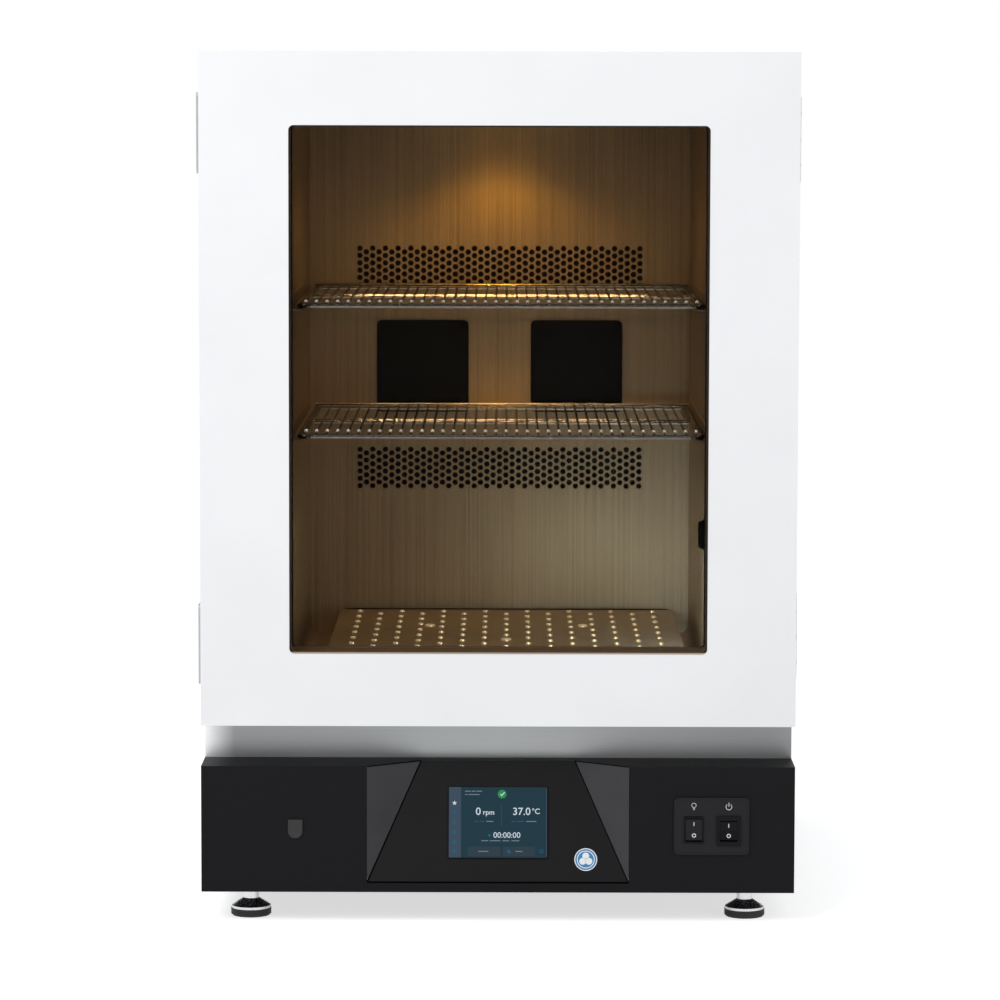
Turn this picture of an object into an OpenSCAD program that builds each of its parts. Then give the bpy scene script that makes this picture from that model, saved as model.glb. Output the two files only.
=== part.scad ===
// Stackable incubator shaker: insulated chamber with a glazed door, on a base
// that holds the controls and the motor of an orbiting platform.
// Millimetres. Origin on the floor under the middle of the cabinet,
// +X right, +Y to the back, +Z up. The door faces -Y.

/* [Cabinet] */
// Width of the cabinet
cab_w = 700; // [660:2:760]
// Depth from the front of the door to the rear cover
cab_d = 800; // [780:2:860]
// Thickness of the insulated roof over the chamber
roof_t = 62; // [58:1:80]
// Thickness of the outer sheets
sheet_t = 1.5; // [1:0.1:2.5]
// Height of the underside of the base above the floor
foot_h = 39; // [36:1:50]
// Height of the base
base_h = 150; // [140:1:170]
// Thickness of the base tray and base walls
base_t = 2; // [1.5:0.1:3]

/* [Door] */
// Thickness of the door without its gasket
door_t = 62; // [56:1:70]
// Gap between the door and the cabinet, filled by the gasket
door_gap = 8; // [7:0.5:10]
// Height of the lower edge of the door above the base
door_rise = 48; // [44:1:56]
// Width of the window
win_w = 491; // [460:1:496]
// Height of the frame above and below the window
win_rim = 85.5; // [80:0.5:100]
// Corner radius of the window
win_r = 6; // [4:0.5:12]
// Thickness of the glass panes
glass_t = 5; // [4:0.5:6]
// Width of the black seal round the glass
seal_w = 1.8; // [1.2:0.1:3]
// Thickness of the door sheets
skin_t = 1.6; // [1.2:0.1:2.5]
// Length of each hinge
hinge_l = 100; // [80:1:110]
// Radius of the hinge knuckles
knuckle_r = 3.5; // [3:0.1:3.6]
// Distance from the door ends to the hinges
hinge_inset = 51.5; // [40:0.5:70]

/* [Chamber] */
// Width inside the chamber
ch_w = 498; // [498:1:506]
// Height of the chamber floor above the roof of the base
ch_floor = 81; // [80:1:90]
// Height inside the chamber
ch_h = 695; // [680:1:700]
// Depth of the insulated back behind the chamber
back_t = 110; // [95:1:125]
// Radius of the rounded edges of the chamber
ch_r = 15; // [10:1:20]
// Thickness of the chamber sheet
liner_t = 1.2; // [1:0.1:1.5]
// Space behind the perforated wall
plenum_d = 80; // [75:1:85]
// Pitch of the perforation
perf_pitch = 9.6; // [9:0.1:10]
// Diameter of the perforation holes
perf_d = 7.2; // [5:0.1:7.4]
// Distance from the side walls to the perforation
perf_side = 66; // [60:0.5:90]
// Rows of holes in the perforated strips
perf_rows = 6; // [5:1:6]
// Height of the upper perforated strip above the middle of the fans
perf_z_up = 129.5; // [122:0.5:137]
// Distance of the lower perforated strip below the middle of the fans
perf_z_low = 134; // [128:0.5:143]

/* [Shelves] */
// Gap between the wire shelves and the side walls
shelf_gap = 5.3; // [5.2:0.1:6]
// Distance from the front frame to the wire shelves
shelf_front = 30; // [27:0.5:40]
// Gap between the wire shelves and the perforated wall
shelf_back = 15; // [13:0.5:25]
// Height of the lower shelf above the chamber floor
shelf_z1 = 303; // [290:1:310]
// Height of the upper shelf above the chamber floor
shelf_z2 = 459; // [450:1:468]
// Wires in each shelf
wire_n = 38; // [30:1:40]
// Diameter of the shelf wires
wire_d = 3; // [2.6:0.1:4]
// Diameter of the frame wires of the shelves
frame_d = 6; // [5:0.1:7]

/* [Shaking drive] */
// Radius of the orbit
orbit_r = 9.5; // [5:0.5:12]
// Gap between the platform and the side walls
plat_side = 31.5; // [29:0.5:39]
// Distance from the front frame to the platform
plat_front = 85.4; // [84:0.2:92]
// Gap between the platform and the perforated wall
plat_back = 18.1; // [16:0.1:25]
// Thickness of the platform
plat_t = 4; // [3:0.1:5]
// Height of the platform top above the chamber floor
plat_z = 34; // [34:0.5:44]
// Half the pitch of the platform hole lattice
lat_p = 27.2; // [26:0.1:28]
// Diameter of the threaded platform holes
lat_d = 5; // [4.5:0.1:6]
// Distance of the main shaft from the platform centre
crank_r = 100; // [96:1:106]
// Radius of the main shaft
shaft_r = 12.5; // [11:0.1:13]
// Radius of the eccentric pins
pin_r = 8; // [7:0.1:9]
// Running clearance of shafts and pins
run_c = 0.05; // [0.03:0.01:0.08]
// Radius of the drive pulley
pulley_r = 60; // [54:1:66]
// Radius of the motor pulley
mpulley_r = 20; // [18:1:24]
// Distance between the pulley shafts
belt_c = 200; // [190:1:220]
// Width of the belt
belt_w = 16; // [12:1:18]
// Thickness of the belt
belt_t = 3; // [2:0.1:4]

/* [Controls] */
// Half width of the console at its front edge
con_w = 154.5; // [145:0.5:165]
// Half width of the console at its back edge
con_b = 91.5; // [85:0.5:100]
// Depth of the console recess at the top
con_d = 47; // [40:1:55]
// Height of the lip below the console
con_lip = 12; // [9:0.5:16]
// Width of the touch screen
scr_w = 119; // [110:1:125]
// Height of the touch screen along the slope
scr_h = 86.6; // [80:0.2:92]
// Distance of the switch plate from the middle
sw_x = 252; // [246:1:262]
// Height of the switch plate above the base underside
sw_z = 80; // [70:1:88]
// Width of the switch plate
sw_w = 88.7; // [86:0.1:92]
// Height of the switch plate
sw_h = 68; // [64:0.5:74]
// Swing of the rockers
rock_a = 16; // [10:1:20]

/* [Feet] */
// Distance of the feet from the sides of the base
foot_side = 55; // [45:1:70]
// Distance of the feet from the front and the back of the base
foot_end = 64; // [50:1:75]
// Diameter of the foot pads
pad_d = 48; // [40:1:50]
// Diameter of the foot necks
neck_d = 18.7; // [17:0.1:20]
// Radius of the foot studs
stud_r = 6; // [5:0.1:7]

/* [Hidden] */
$fn = 48;
EPS = 0.01;

// outer faces
x_out = cab_w / 2;
y_front = -cab_d / 2;
y_rear = cab_d / 2;
z_base = foot_h;
z_deck = foot_h + base_h;
y_cab = y_front + door_t + door_gap;
z_floor = z_deck + ch_floor;
z_ceil = z_floor + ch_h;
z_roof = z_ceil + roof_t;

// door
z_door = z_deck + door_rise;
door_h = z_roof - z_door;
y_door_in = y_front + door_t;
z_win = z_door + win_rim;
win_h = door_h - 2 * win_rim;
win_zc = z_win + win_h / 2;
hinge_x = x_out + 1.5;
hinge_y = y_front + door_t + door_gap / 2;
leaf_t = 2;
pin_hr = 1.6;
glass_in = 2.5;
y_g1 = y_front + glass_in + glass_t;
y_g2 = y_door_in - glass_in - glass_t;
blank_z = 95;
hinge_z = [z_door + hinge_inset, z_roof - hinge_inset - hinge_l];

// chamber
ch_x = ch_w / 2;
y_ch0 = y_cab + sheet_t;
y_ch1 = y_rear - back_t;
y_plen = y_ch1 - plenum_d;
foam_gap = 0.1;
port_y = y_cab + 80;
port_up = 179;
port_z = z_floor + port_up;
port_r = 13;
port_wall = 3;
fan_x = 100.5;
fan_up = 5.5;
fan_z = (z_floor + z_ceil) / 2 + fan_up;
fan_s = 120;
fan_t = 25;
fan_bore = 57;
tip_r = 55;
hub_r = 21;
guard_t = 5;
perf_cx = perf_pitch * cos(30);
perf_cols = 2 * floor((ch_x - perf_side) / perf_cx + 0.01) + 1;
rib_x = ch_x - 34;

// drive
plat_cx = orbit_r;
plat_y0 = y_ch0 + plat_front;
plat_y1 = y_plen - plat_back;
plat_w = ch_w - 2 * plat_side;
plat_d = plat_y1 - plat_y0;
plat_cy = (plat_y0 + plat_y1) / 2;
z_plat = z_floor + plat_z;
crank_gap = 2;
crank_t = 7;
z_crank = z_floor + crank_gap;
z_pin0 = z_crank + crank_t;
z_car0 = z_pin0 + 2;
z_car1 = z_plat - plat_t;
pin_top = z_car1 - 3;
idl_r = 10;
idl_pin_r = 7;
bear_w = 9;
bear_o = 26;
idl_bear_o = 21;
car_bear_o = 17;
frame_t = 8;
z_tower = z_floor - 8;
pulley_z = z_deck - 52;
pulley_h = belt_w + 4;
belt_gap = 0.3;
motor_r = 45;
drive_pts = [[0, plat_cy + crank_r], [-crank_r, plat_cy - crank_r / 2],
    [crank_r, plat_cy - crank_r / 2]];
screw_pts = [[-97, 41], [97, 41], [0, -98]];
mot = [0, plat_cy + crank_r + belt_c];
foot_x = cab_w - 2 * foot_side;
foot_y = cab_d - 2 * foot_end;
foot_pts = [[-foot_x / 2, -foot_y / 2], [foot_x / 2, -foot_y / 2],
    [-foot_x / 2, foot_y / 2], [foot_x / 2, foot_y / 2]];
boss_h = 22;
boss_r = 13;

// controls
con_z0 = z_base + con_lip;
con_rise = z_deck - con_z0;
con_a = atan(con_d / con_rise);
con_len = con_rise / cos(con_a);
con_t = 2;
scr_t = 8;
scr_proud = 1.2;
fit = 0.4;
sw_t = 2.2;
sw_zc = z_base + sw_z;
lr = [sw_x - 21, sw_zc - 4.3, 19, 27];
pr = [sw_x + 20, sw_zc - 5.5, 20, 24];
port_cx = -sw_x + 13;
port_cz = sw_zc - 4.4;
inlet_x = -x_out + 100;
inlet_z = z_base + 63;
psu_w = 110;
psu_l = 210;
psu_h = 50;
psu_gap = 53;
psu_side = 40;
psu = [-x_out + psu_side + psu_w / 2, y_rear - foot_end - boss_r - psu_gap - psu_l / 2];

// ---------- shared shapes ----------
module slab(x0, x1, y0, y1, z0, z1)
    translate([x0, y0, z0]) cube([x1 - x0, y1 - y0, z1 - z0]);

// rectangle with true round corners, centred
module rrect(w, h, r) {
    square([w - 2 * r, h], center = true);
    square([w, h - 2 * r], center = true);
    for (x = [-1, 1], z = [-1, 1])
        translate([x * (w / 2 - r), z * (h / 2 - r)]) circle(r);
}

// upright plate whose back face is at y
module plate_y(x, y, z, t, w, h, r)
    translate([x, y, z]) rotate([90, 0, 0]) linear_extrude(t) rrect(w, h, r);

// upright frame whose back face is at y
module frame_y(x, y, z, t, w, h, r, iw, ih, ir)
    translate([x, y, z]) rotate([90, 0, 0]) linear_extrude(t) difference() {
        rrect(w, h, r);
        rrect(iw, ih, ir);
    }

module rod_y(x, y0, y1, z, r)
    translate([x, y0, z]) rotate([-90, 0, 0]) rotate(180 / $fn) cylinder(h = y1 - y0, r = r);

module rod_x(x0, x1, y, z, r)
    translate([x0, y, z]) rotate([0, 90, 0]) cylinder(h = x1 - x0, r = r);

module ring(r1, r2, h) difference() {
    cylinder(h = h, r = r1);
    translate([0, 0, -1]) cylinder(h = h + 2, r = r2);
}

// ---------- base ----------
seam = 0.02;
z_weld = z_base + base_t + seam;
module base_tray() color("#242326") difference() {
    // floor sheet, with flanges, bosses and channels welded on it
    union() {
        slab(-x_out + base_t, x_out - base_t, y_front + base_t, y_rear - base_t,
            z_base, z_base + base_t);
        for (s = [-1, 1])
            slab(s > 0 ? x_out - 2 * base_t : -x_out + base_t,
                s > 0 ? x_out - base_t : -x_out + 2 * base_t,
                y_front + 40, y_rear - base_t, z_weld, z_base + 14);
        for (p = foot_pts) translate([p[0], p[1], z_weld])
            cylinder(h = z_base + boss_h - z_weld, r = boss_r);
        for (s = [-1, 1])
            slab(s * foot_x / 4 - 12, s * foot_x / 4 + 12, y_front + 70, y_rear - 30,
                z_weld, z_base + 10);
    }
    for (p = foot_pts) translate([p[0], p[1], z_base - 1])
        cylinder(h = boss_h + 2, r = stud_r + run_c);
    for (s = [-1, 1])
        slab(s * foot_x / 4 - 10, s * foot_x / 4 + 10, y_front + 69, y_rear - 29,
            z_base - 1, z_base + 8);
}

vent_n = 9;
vent_p = 14;
in_x = x_out - base_t - seam;
module base_housing() color("#201e21") difference() {
    // two sides, rear and deck, with hairline seams between the plates
    union() {
        for (s = [0, 1]) slab(s ? x_out - base_t : -x_out, s ? x_out : -x_out + base_t,
            y_front + base_t, y_rear, z_base, z_deck);
        slab(-in_x, in_x, y_rear - base_t, y_rear, z_base, z_deck - base_t - seam);
        slab(-in_x, in_x, y_cab, y_rear, z_deck - base_t, z_deck);
    }
    // the ledge in front is part of the front panel
    slab(-x_out - 1, x_out + 1, y_front, y_cab, z_deck - base_t, z_deck + 1);
    // well for the drive
    slab(-crank_r - 16, crank_r + 16, plat_cy - crank_r / 2 - 16, plat_cy + crank_r + 16,
        z_deck - base_t - 1, z_deck + 1);
    // rear vents
    for (i = [0:vent_n - 1]) translate([170 + (i - (vent_n - 1) / 2) * vent_p,
        y_rear + 1, z_base + 80]) rotate([90, 0, 0])
        linear_extrude(base_t + 2) rrect(6, 70, 2.9);
    // opening for the inlet
    slab(inlet_x - 14.2, inlet_x + 14.2, y_rear - base_t - 1, y_rear + 1, inlet_z - 12.7,
        inlet_z + 12.7);
}

module base_front_panel() color("#201e21") difference() {
    union() {
        slab(-x_out, x_out, y_front, y_front + base_t, z_base, z_deck);
        slab(-x_out, x_out, y_front, y_cab, z_deck - base_t, z_deck);
    }
    // console opening in the front and its plan through the ledge
    slab(-con_w, con_w, y_front - 1, y_front + base_t + 1, con_z0, z_deck + 1);
    translate([0, 0, z_deck - base_t - 1]) linear_extrude(base_t + 2)
        polygon([[-con_w, y_front], [con_w, y_front], [con_w, y_front + con_t + 0.3],
            [con_b, y_front + con_d + con_t + 0.3], [-con_b, y_front + con_d + con_t + 0.3],
            [-con_w, y_front + con_t + 0.3]]);
    // switch plate and port openings
    slab(lr[0] - 12, pr[0] + 16, y_front - 1, y_front + base_t + 1, lr[1] - 20,
        lr[1] + 20);
    plate_y(port_cx, y_front + base_t + 1, port_cz, base_t + 2, 13, 8, 1);
}

// sloped console: the face and its two side facets, bent from one sheet
module console_plate() color("#2b2a2d") {
    difference() {
        con_sheet([[-con_b, con_d, z_deck], [con_b, con_d, z_deck], [con_w, 0, con_z0],
            [-con_w, 0, con_z0]]);
        screen_place() translate([0, 0, -10]) linear_extrude(20)
            square([scr_w - 3, scr_h - 3], center = true);
    }
    for (s = [-1, 1])
        con_sheet([[s * con_b, con_d, z_deck], [s * con_w, 0, z_deck], [s * con_w, 0, con_z0]]);
}

// flat sheet through corner points given from the front plane
module con_sheet(pts) hull() for (p = pts, b = [0, con_t])
    translate([p[0] - sign(p[0]) * 0.1, y_front + p[1] + b, p[2] - (p[2] == z_deck ? 0 : -0.2)])
        cube(EPS, center = true);

// frame on the middle of the console face, its normal towards the user
module screen_place()
    translate([0, y_front + con_d - (con_len / 2 + 1.5) * sin(con_a),
        z_deck - (con_len / 2 + 1.5) * cos(con_a)])
        rotate([90 - con_a, 0, 0]) children();

module touch_screen() color("#1d3a44") screen_place() {
    // bezel pane in front of the sheet, electronics box behind it
    translate([0, 0, 0.2]) linear_extrude(scr_proud) rrect(scr_w, scr_h, 2);
    translate([0, 0, -scr_t]) linear_extrude(scr_t + 0.5)
        square([scr_w - 4, scr_h - 4], center = true);
}

// ---------- switches ----------
module switch_plate() color("#1b1a1c") difference() {
    union() {
        plate_y(sw_x, y_front, sw_zc, sw_t, sw_w, sw_h, 6);
        frame_y(sw_x, y_front - sw_t + EPS, sw_zc, 0.8, sw_w, sw_h, 6, sw_w - 4, sw_h - 4, 4);
    }
    for (s = [lr, pr])
        plate_y(s[0], y_front + 1, s[1], sw_t + 4, s[2] + 4.4, s[3] + 5.4, 0.5);
}

// profile of a rocker, seen along X with the user to the left
module rocker_2d(h) intersection() {
    circle(h / 2);
    polygon([[-5, 0], [-5 - h / 2 * tan(rock_a / 2) - 0.6, h], [6, h], [6, -h],
        [-5 - h / 2 * tan(rock_a / 2) - 0.6, -h]]);
}

module rocker(s, col) color(col)
    translate([s[0], y_front, s[1]]) rotate([-rock_a / 2, 0, 0]) {
        translate([-s[2] / 2, 0, 0]) rotate([90, 0, 90])
            linear_extrude(s[2]) rocker_2d(s[3]);
        rod_x(-s[2] / 2 - 1.5, s[2] / 2 + 1.5, 0, 0, 1.5);
    }
module light_rocker() rocker(lr, "#3a3b3e");
module power_rocker() rocker(pr, "#141416");

// bodies behind the plate that carry the rockers on their trunnions
module switch_body(s, rim_w, rim_h) {
    difference() {
        union() {
            slab(s[0] - s[2] / 2 - 2, s[0] + s[2] / 2 + 2, y_front - sw_t, y_front + 22,
                s[1] - s[3] / 2 - 2.5, s[1] + s[3] / 2 + 2.5);
            plate_y(s[0], y_front - sw_t - 0.8, s[1], 1.6, s[2] + rim_w, s[3] + rim_h, 1.5);
        }
        slab(s[0] - s[2] / 2 - 0.3, s[0] + s[2] / 2 + 0.3, y_front - 10, y_front + 15,
            s[1] - s[3] / 2 - 0.4, s[1] + s[3] / 2 + 0.4);
        rod_x(s[0] - s[2] / 2 - 1.8, s[0] + s[2] / 2 + 1.8, y_front, s[1], 1.5 + run_c);
    }
    for (z = [-5, 5]) slab(s[0] - 3, s[0] + 3, y_front + 22 - EPS, y_front + 30,
        s[1] + z - 0.5, s[1] + z + 0.5);
}
module switch_housings() color("#0f0f10") {
    switch_body(lr, 4, 4);
    switch_body(pr, 9, 11.6);
}

module port_cover() color("#18171a") {
    translate([port_cx, y_front, port_cz]) rotate([90, 0, 0]) linear_extrude(2.5) {
        translate([-8.5, 0]) square([17, 11]);
        translate([-8.5, -2.5]) square([17, 4]);
        intersection() {
            translate([0, -2.5]) circle(8.5);
            translate([-9, -12]) square([18, 12]);
        }
    }
    plate_y(port_cx, y_front + 9, port_cz, 9 + EPS, 12.4, 7.4, 0.8);
}

// ---------- feet ----------
module foot(i) color("#b9babb") translate([foot_pts[i][0], foot_pts[i][1], 0])
    rotate_extrude() polygon([[0, 0], [pad_d / 2 - 2, 0], [pad_d / 2, 2], [pad_d / 2, 9],
        [pad_d / 2 - 0.6, 9], [pad_d / 2 - 0.6, 12], [pad_d / 2 - 3, 13.5],
        [neck_d / 2 + 2, 19.5], [neck_d / 2, 21], [neck_d / 2, foot_h - 0.3],
        [stud_r, foot_h - 0.3], [stud_r, foot_h + boss_h + 12], [stud_r - 1, foot_h + boss_h + 13],
        [0, foot_h + boss_h + 13]]);
module foot_front_left() foot(0);
module foot_front_right() foot(1);
module foot_rear_left() foot(2);
module foot_rear_right() foot(3);

// ---------- cabinet shell ----------
module side_panels() color("#e9eaec") difference() {
    for (s = [0, 1]) slab(s ? x_out - sheet_t : -x_out, s ? x_out : -x_out + sheet_t,
        y_cab + sheet_t, y_rear - sheet_t, z_deck, z_roof - sheet_t);
    rod_x(x_out - 5, x_out + 5, port_y, port_z, port_r + port_wall + 0.1);
    hinge_bores();
}

// holes for the screws of the cabinet hinge leaves
module hinge_bores() for (z = hinge_z, k = [0.2, 0.5, 0.8])
    rod_x(x_out - 9, x_out + 5, y_cab + 19, z + k * hinge_l, 2.2);

roof_holes = [[-x_out + 60, y_cab + 60], [x_out - 60, y_cab + 60],
    [-x_out + 60, y_rear - 60], [x_out - 60, y_rear - 60]];
module roof_panel() color("#e9eaec") difference() {
    union() {
        slab(-x_out, x_out, y_cab + sheet_t, y_rear - sheet_t, z_roof - sheet_t, z_roof);
        // bushes pressed in from below
        for (p = roof_holes) translate([p[0], p[1], z_roof - 14])
            cylinder(h = 14 - sheet_t - seam, r = 9);
    }
    for (p = roof_holes) translate([p[0], p[1], z_roof - 15]) cylinder(h = 16, r = 5);
}

module rear_cover() color("#dfe0e2") difference() {
    slab(-x_out, x_out, y_rear - sheet_t, y_rear, z_deck, z_roof);
    for (i = [0:14], s = [-1, 1]) translate([s * 150 + (i - 7) * vent_p, y_rear + 1, z_deck + 110])
        rotate([90, 0, 0]) linear_extrude(sheet_t + 2) rrect(6, 90, 2.9);
}

module front_frame() color("#b9bcbf") difference() {
    union() {
        frame_y(0, y_cab + sheet_t, (z_deck + z_roof) / 2, sheet_t, cab_w, z_roof - z_deck,
            0.5, 10, 10, 1);
    }
    translate([0, y_cab + sheet_t + 1, z_floor + ch_h / 2]) rotate([90, 0, 0])
        linear_extrude(sheet_t + 2) rrect(ch_w, ch_h, ch_r);
}

// ---------- chamber ----------
module ch_prism(y0, y1, g) translate([0, y1, z_floor + ch_h / 2]) rotate([90, 0, 0])
    linear_extrude(y1 - y0) rrect(ch_w + 2 * g, ch_h + 2 * g, ch_r + g);

module chamber_liner() color("#a9abac") {
    difference() {
        ch_prism(y_ch0, y_ch1 + liner_t, liner_t);
        ch_prism(y_ch0 - 1, y_ch1, 0);
        // three shaft holes and the port
        for (p = drive_pts) translate([p[0], p[1], z_floor - 5]) cylinder(h = 10, r = shaft_r + 3);
        rod_x(ch_x - 5, ch_x + 5, port_y, port_z, port_r + port_wall + 0.1);
    }
    // ribs on the rear wall that the perforated wall rests on
    for (s = [-1, 1]) slab(s * rib_x - 1, s * rib_x + 1, y_plen + sheet_t + 0.05, y_ch1 + EPS,
        z_floor + 30, z_ceil - 30);
}

foam_i = liner_t + foam_gap;
module foam_insulation() color("#d9cf9f") {
    difference() {
        union() for (s = [-1, 1])
            slab(s > 0 ? ch_x + foam_i : -x_out + sheet_t,
                s > 0 ? x_out - sheet_t : -ch_x - foam_i,
                y_ch0, y_ch1 + foam_i, z_deck, z_roof - sheet_t);
        rod_x(ch_x - 5, x_out + 5, port_y, port_z, port_r + port_wall + 0.1);
        hinge_bores();
        for (p = roof_holes) translate([p[0], p[1], z_roof - 15]) cylinder(h = 20, r = 9.3);
    }
    // roof, floor and rear slabs
    slab(-ch_x - foam_i + EPS, ch_x + foam_i - EPS, y_ch0, y_ch1 + foam_i,
        z_ceil + foam_i, z_roof - sheet_t);
    difference() {
        slab(-ch_x - foam_i + EPS, ch_x + foam_i - EPS, y_ch0, y_ch1 + foam_i,
            z_deck, z_floor - foam_i);
        slab(-crank_r - 42, crank_r + 42, plat_cy - crank_r / 2 - 42, plat_cy + crank_r + 42,
            z_deck - 1, z_floor);
    }
    difference() {
        slab(-x_out + sheet_t, x_out - sheet_t, y_ch1 + foam_i + EPS, y_ch1 + 55, z_deck,
            z_roof - sheet_t);
        for (p = roof_holes) translate([p[0], p[1], z_roof - 15]) cylinder(h = 20, r = 9.3);
    }
}

// ---------- air system ----------
perf_x0 = -(perf_cols - 1) / 2 * perf_cx;
module perf_strip(z) for (i = [0:perf_cols - 1])
    for (j = [0:perf_rows - 1 - (i % 2)])
        translate([perf_x0 + i * perf_cx,
            z + (j + (i % 2) / 2 - (perf_rows - 1) / 2) * perf_pitch * cos(0)])
            circle(d = perf_d, $fn = 24);

module plenum_panel() color("#9c9e9f") {
    translate([0, y_plen + sheet_t, 0]) rotate([90, 0, 0]) linear_extrude(sheet_t)
        difference() {
            translate([0, z_floor + ch_h / 2]) rrect(ch_w - 0.6, ch_h - 0.6, ch_r - 0.3);
            for (s = [-1, 1]) translate([s * fan_x, fan_z]) circle(fan_bore - 3);
            perf_strip(fan_z + perf_z_up);
            perf_strip(fan_z - perf_z_low);
        }
}

module fan_guards() color("#17171a") for (s = [-1, 1])
    translate([s * fan_x, y_plen, fan_z]) rotate([90, 0, 0]) {
        linear_extrude(guard_t) difference() {
            rrect(fan_s, fan_s, 7);
            circle(fan_bore - 4);
            for (x = [-1, 1], z = [-1, 1]) translate([x * 52.5, z * 52.5]) circle(2.2);
        }
        translate([0, 0, 1]) linear_extrude(2.5) {
            for (r = [16, 25, 34, 43]) difference() {
                circle(r + 1);
                circle(r - 1);
            }
            for (a = [45, 135]) rotate(a) square([2 * fan_bore - 7, 3], center = true);
        }
    }

fan_y0 = y_plen + sheet_t;
module fan_housings() color("#202024") for (s = [-1, 1])
    translate([s * fan_x, fan_y0 + fan_t, fan_z]) rotate([90, 0, 0]) {
        difference() {
            linear_extrude(fan_t) difference() {
                rrect(fan_s, fan_s, 6);
                circle(fan_bore);
                for (x = [-1, 1], z = [-1, 1]) translate([x * 52.5, z * 52.5]) circle(2.2);
            }
            // corners open between the two flanges
            translate([0, 0, 4]) linear_extrude(fan_t - 8) difference() {
                square(fan_s + 2, center = true);
                circle(fan_bore + 1.8);
            }
        }
        // motor plate at the back, on three arms, with the axle of the rotor
        linear_extrude(3) {
            circle(hub_r);
            for (a = [0:2]) rotate(a * 120 + 30) translate([hub_r - 2, -3])
                square([fan_bore - hub_r + 3, 6]);
        }
        cylinder(h = fan_t - 7, r = 3);
    }

// seven raked blades on a hub that turns on the axle
module fan_rotor(s) color("#2a2a2e") translate([s * fan_x, fan_y0 + fan_t, fan_z])
    rotate([90, 0, 0]) {
        difference() {
            union() {
                translate([0, 0, 4]) cylinder(h = fan_t - 6, r = hub_r);
                for (a = [0:6]) rotate(a * 360 / 7) intersection() {
                    translate([hub_r - 2, 0, fan_t / 2 + 1]) rotate([35, 0, 0])
                        translate([0, -13, -1]) cube([60, 26, 2]);
                    translate([0, 0, 5]) cylinder(h = fan_t - 8, r = tip_r);
                }
            }
            translate([0, 0, 3]) cylinder(h = fan_t - 9, r = 3 + run_c);
        }
    }
module fan_rotor_left() fan_rotor(-1);
module fan_rotor_right() fan_rotor(1);

// tubular heater, bent to and fro, on two brackets from the rear wall
heat_r = 4;
heat_p = 30;
heat_w = 160;
heat_up = 135;
heat_back = 32;
heat_leg = 110;
heat_z = z_ceil - heat_up;
heat_y = y_ch1 - heat_back;
module heater_coil() color("#8e8478") {
    for (i = [0:3]) rod_x(-heat_w, heat_w, heat_y, heat_z + i * heat_p, heat_r);
    for (i = [0:2]) translate([(i % 2 ? -1 : 1) * heat_w, heat_y, heat_z + (i + 0.5) * heat_p])
        rotate([90, 0, 0]) rotate([0, 0, i % 2 ? 90 : -90])
            rotate_extrude(angle = 180) translate([heat_p / 2, 0]) circle(heat_r);
    for (s = [-1, 1]) slab(s * heat_leg - 1, s * heat_leg + 1, heat_y - 7, y_ch1,
        heat_z - 12, heat_z + 3 * heat_p + 12);
}

module temperature_probe() color("#c9c9c9") {
    rod_y(0, y_plen + sheet_t, y_plen + 55, fan_z, 3);
    translate([0, y_plen + sheet_t, fan_z]) rotate([-90, 0, 0]) cylinder(h = 8, r = 8);
}

lamp_y = y_plen - 90;
module chamber_lamp() color("#d8c9a4") {
    slab(-110, 110, lamp_y - 22, lamp_y + 22, z_ceil - 10, z_ceil);
    intersection() {
        rod_x(-100, 100, lamp_y, z_ceil - 10, 16);
        slab(-120, 120, lamp_y - 30, lamp_y + 30, z_ceil - 40, z_ceil - 8);
    }
}

// ---------- access port ----------
module port_sleeve() color("#8f9192") translate([ch_x, port_y, port_z]) rotate([0, 90, 0])
    ring(port_r + port_wall, port_r, x_out - ch_x);

module port_stopper() color("#1a1a1c") translate([ch_x, port_y, port_z])
    rotate([0, 90, 0]) {
        translate([0, 0, -8]) cylinder(h = 7.6, r1 = 15.5, r2 = 19);
        translate([0, 0, -1]) cylinder(h = 40, r1 = port_r - 0.4, r2 = port_r - 1);
    }

// ---------- shelves ----------
y_sh1 = y_plen - shelf_back;
y_sh0 = y_cab + shelf_front;
shelf_d = y_sh1 - y_sh0;
shelf_w = ch_w - 2 * shelf_gap;
// the shelves lie to the right in their play
shelf_x = 2.5;
rail_h = 16;
module shelf_rails() color("#a0a2a3") for (z = [shelf_z1, shelf_z2], s = [-1, 1])
    translate([0, 0, z_floor + z - frame_d - 0.3]) mirror([s > 0 ? 0 : 1, 0, 0]) {
        slab(ch_x - 14, ch_x, y_sh0 - 4, y_sh1 - 6, -2, 0);
        slab(ch_x - 2, ch_x, y_sh0 - 4, y_sh1 - 6, -2, rail_h);
    }

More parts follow.
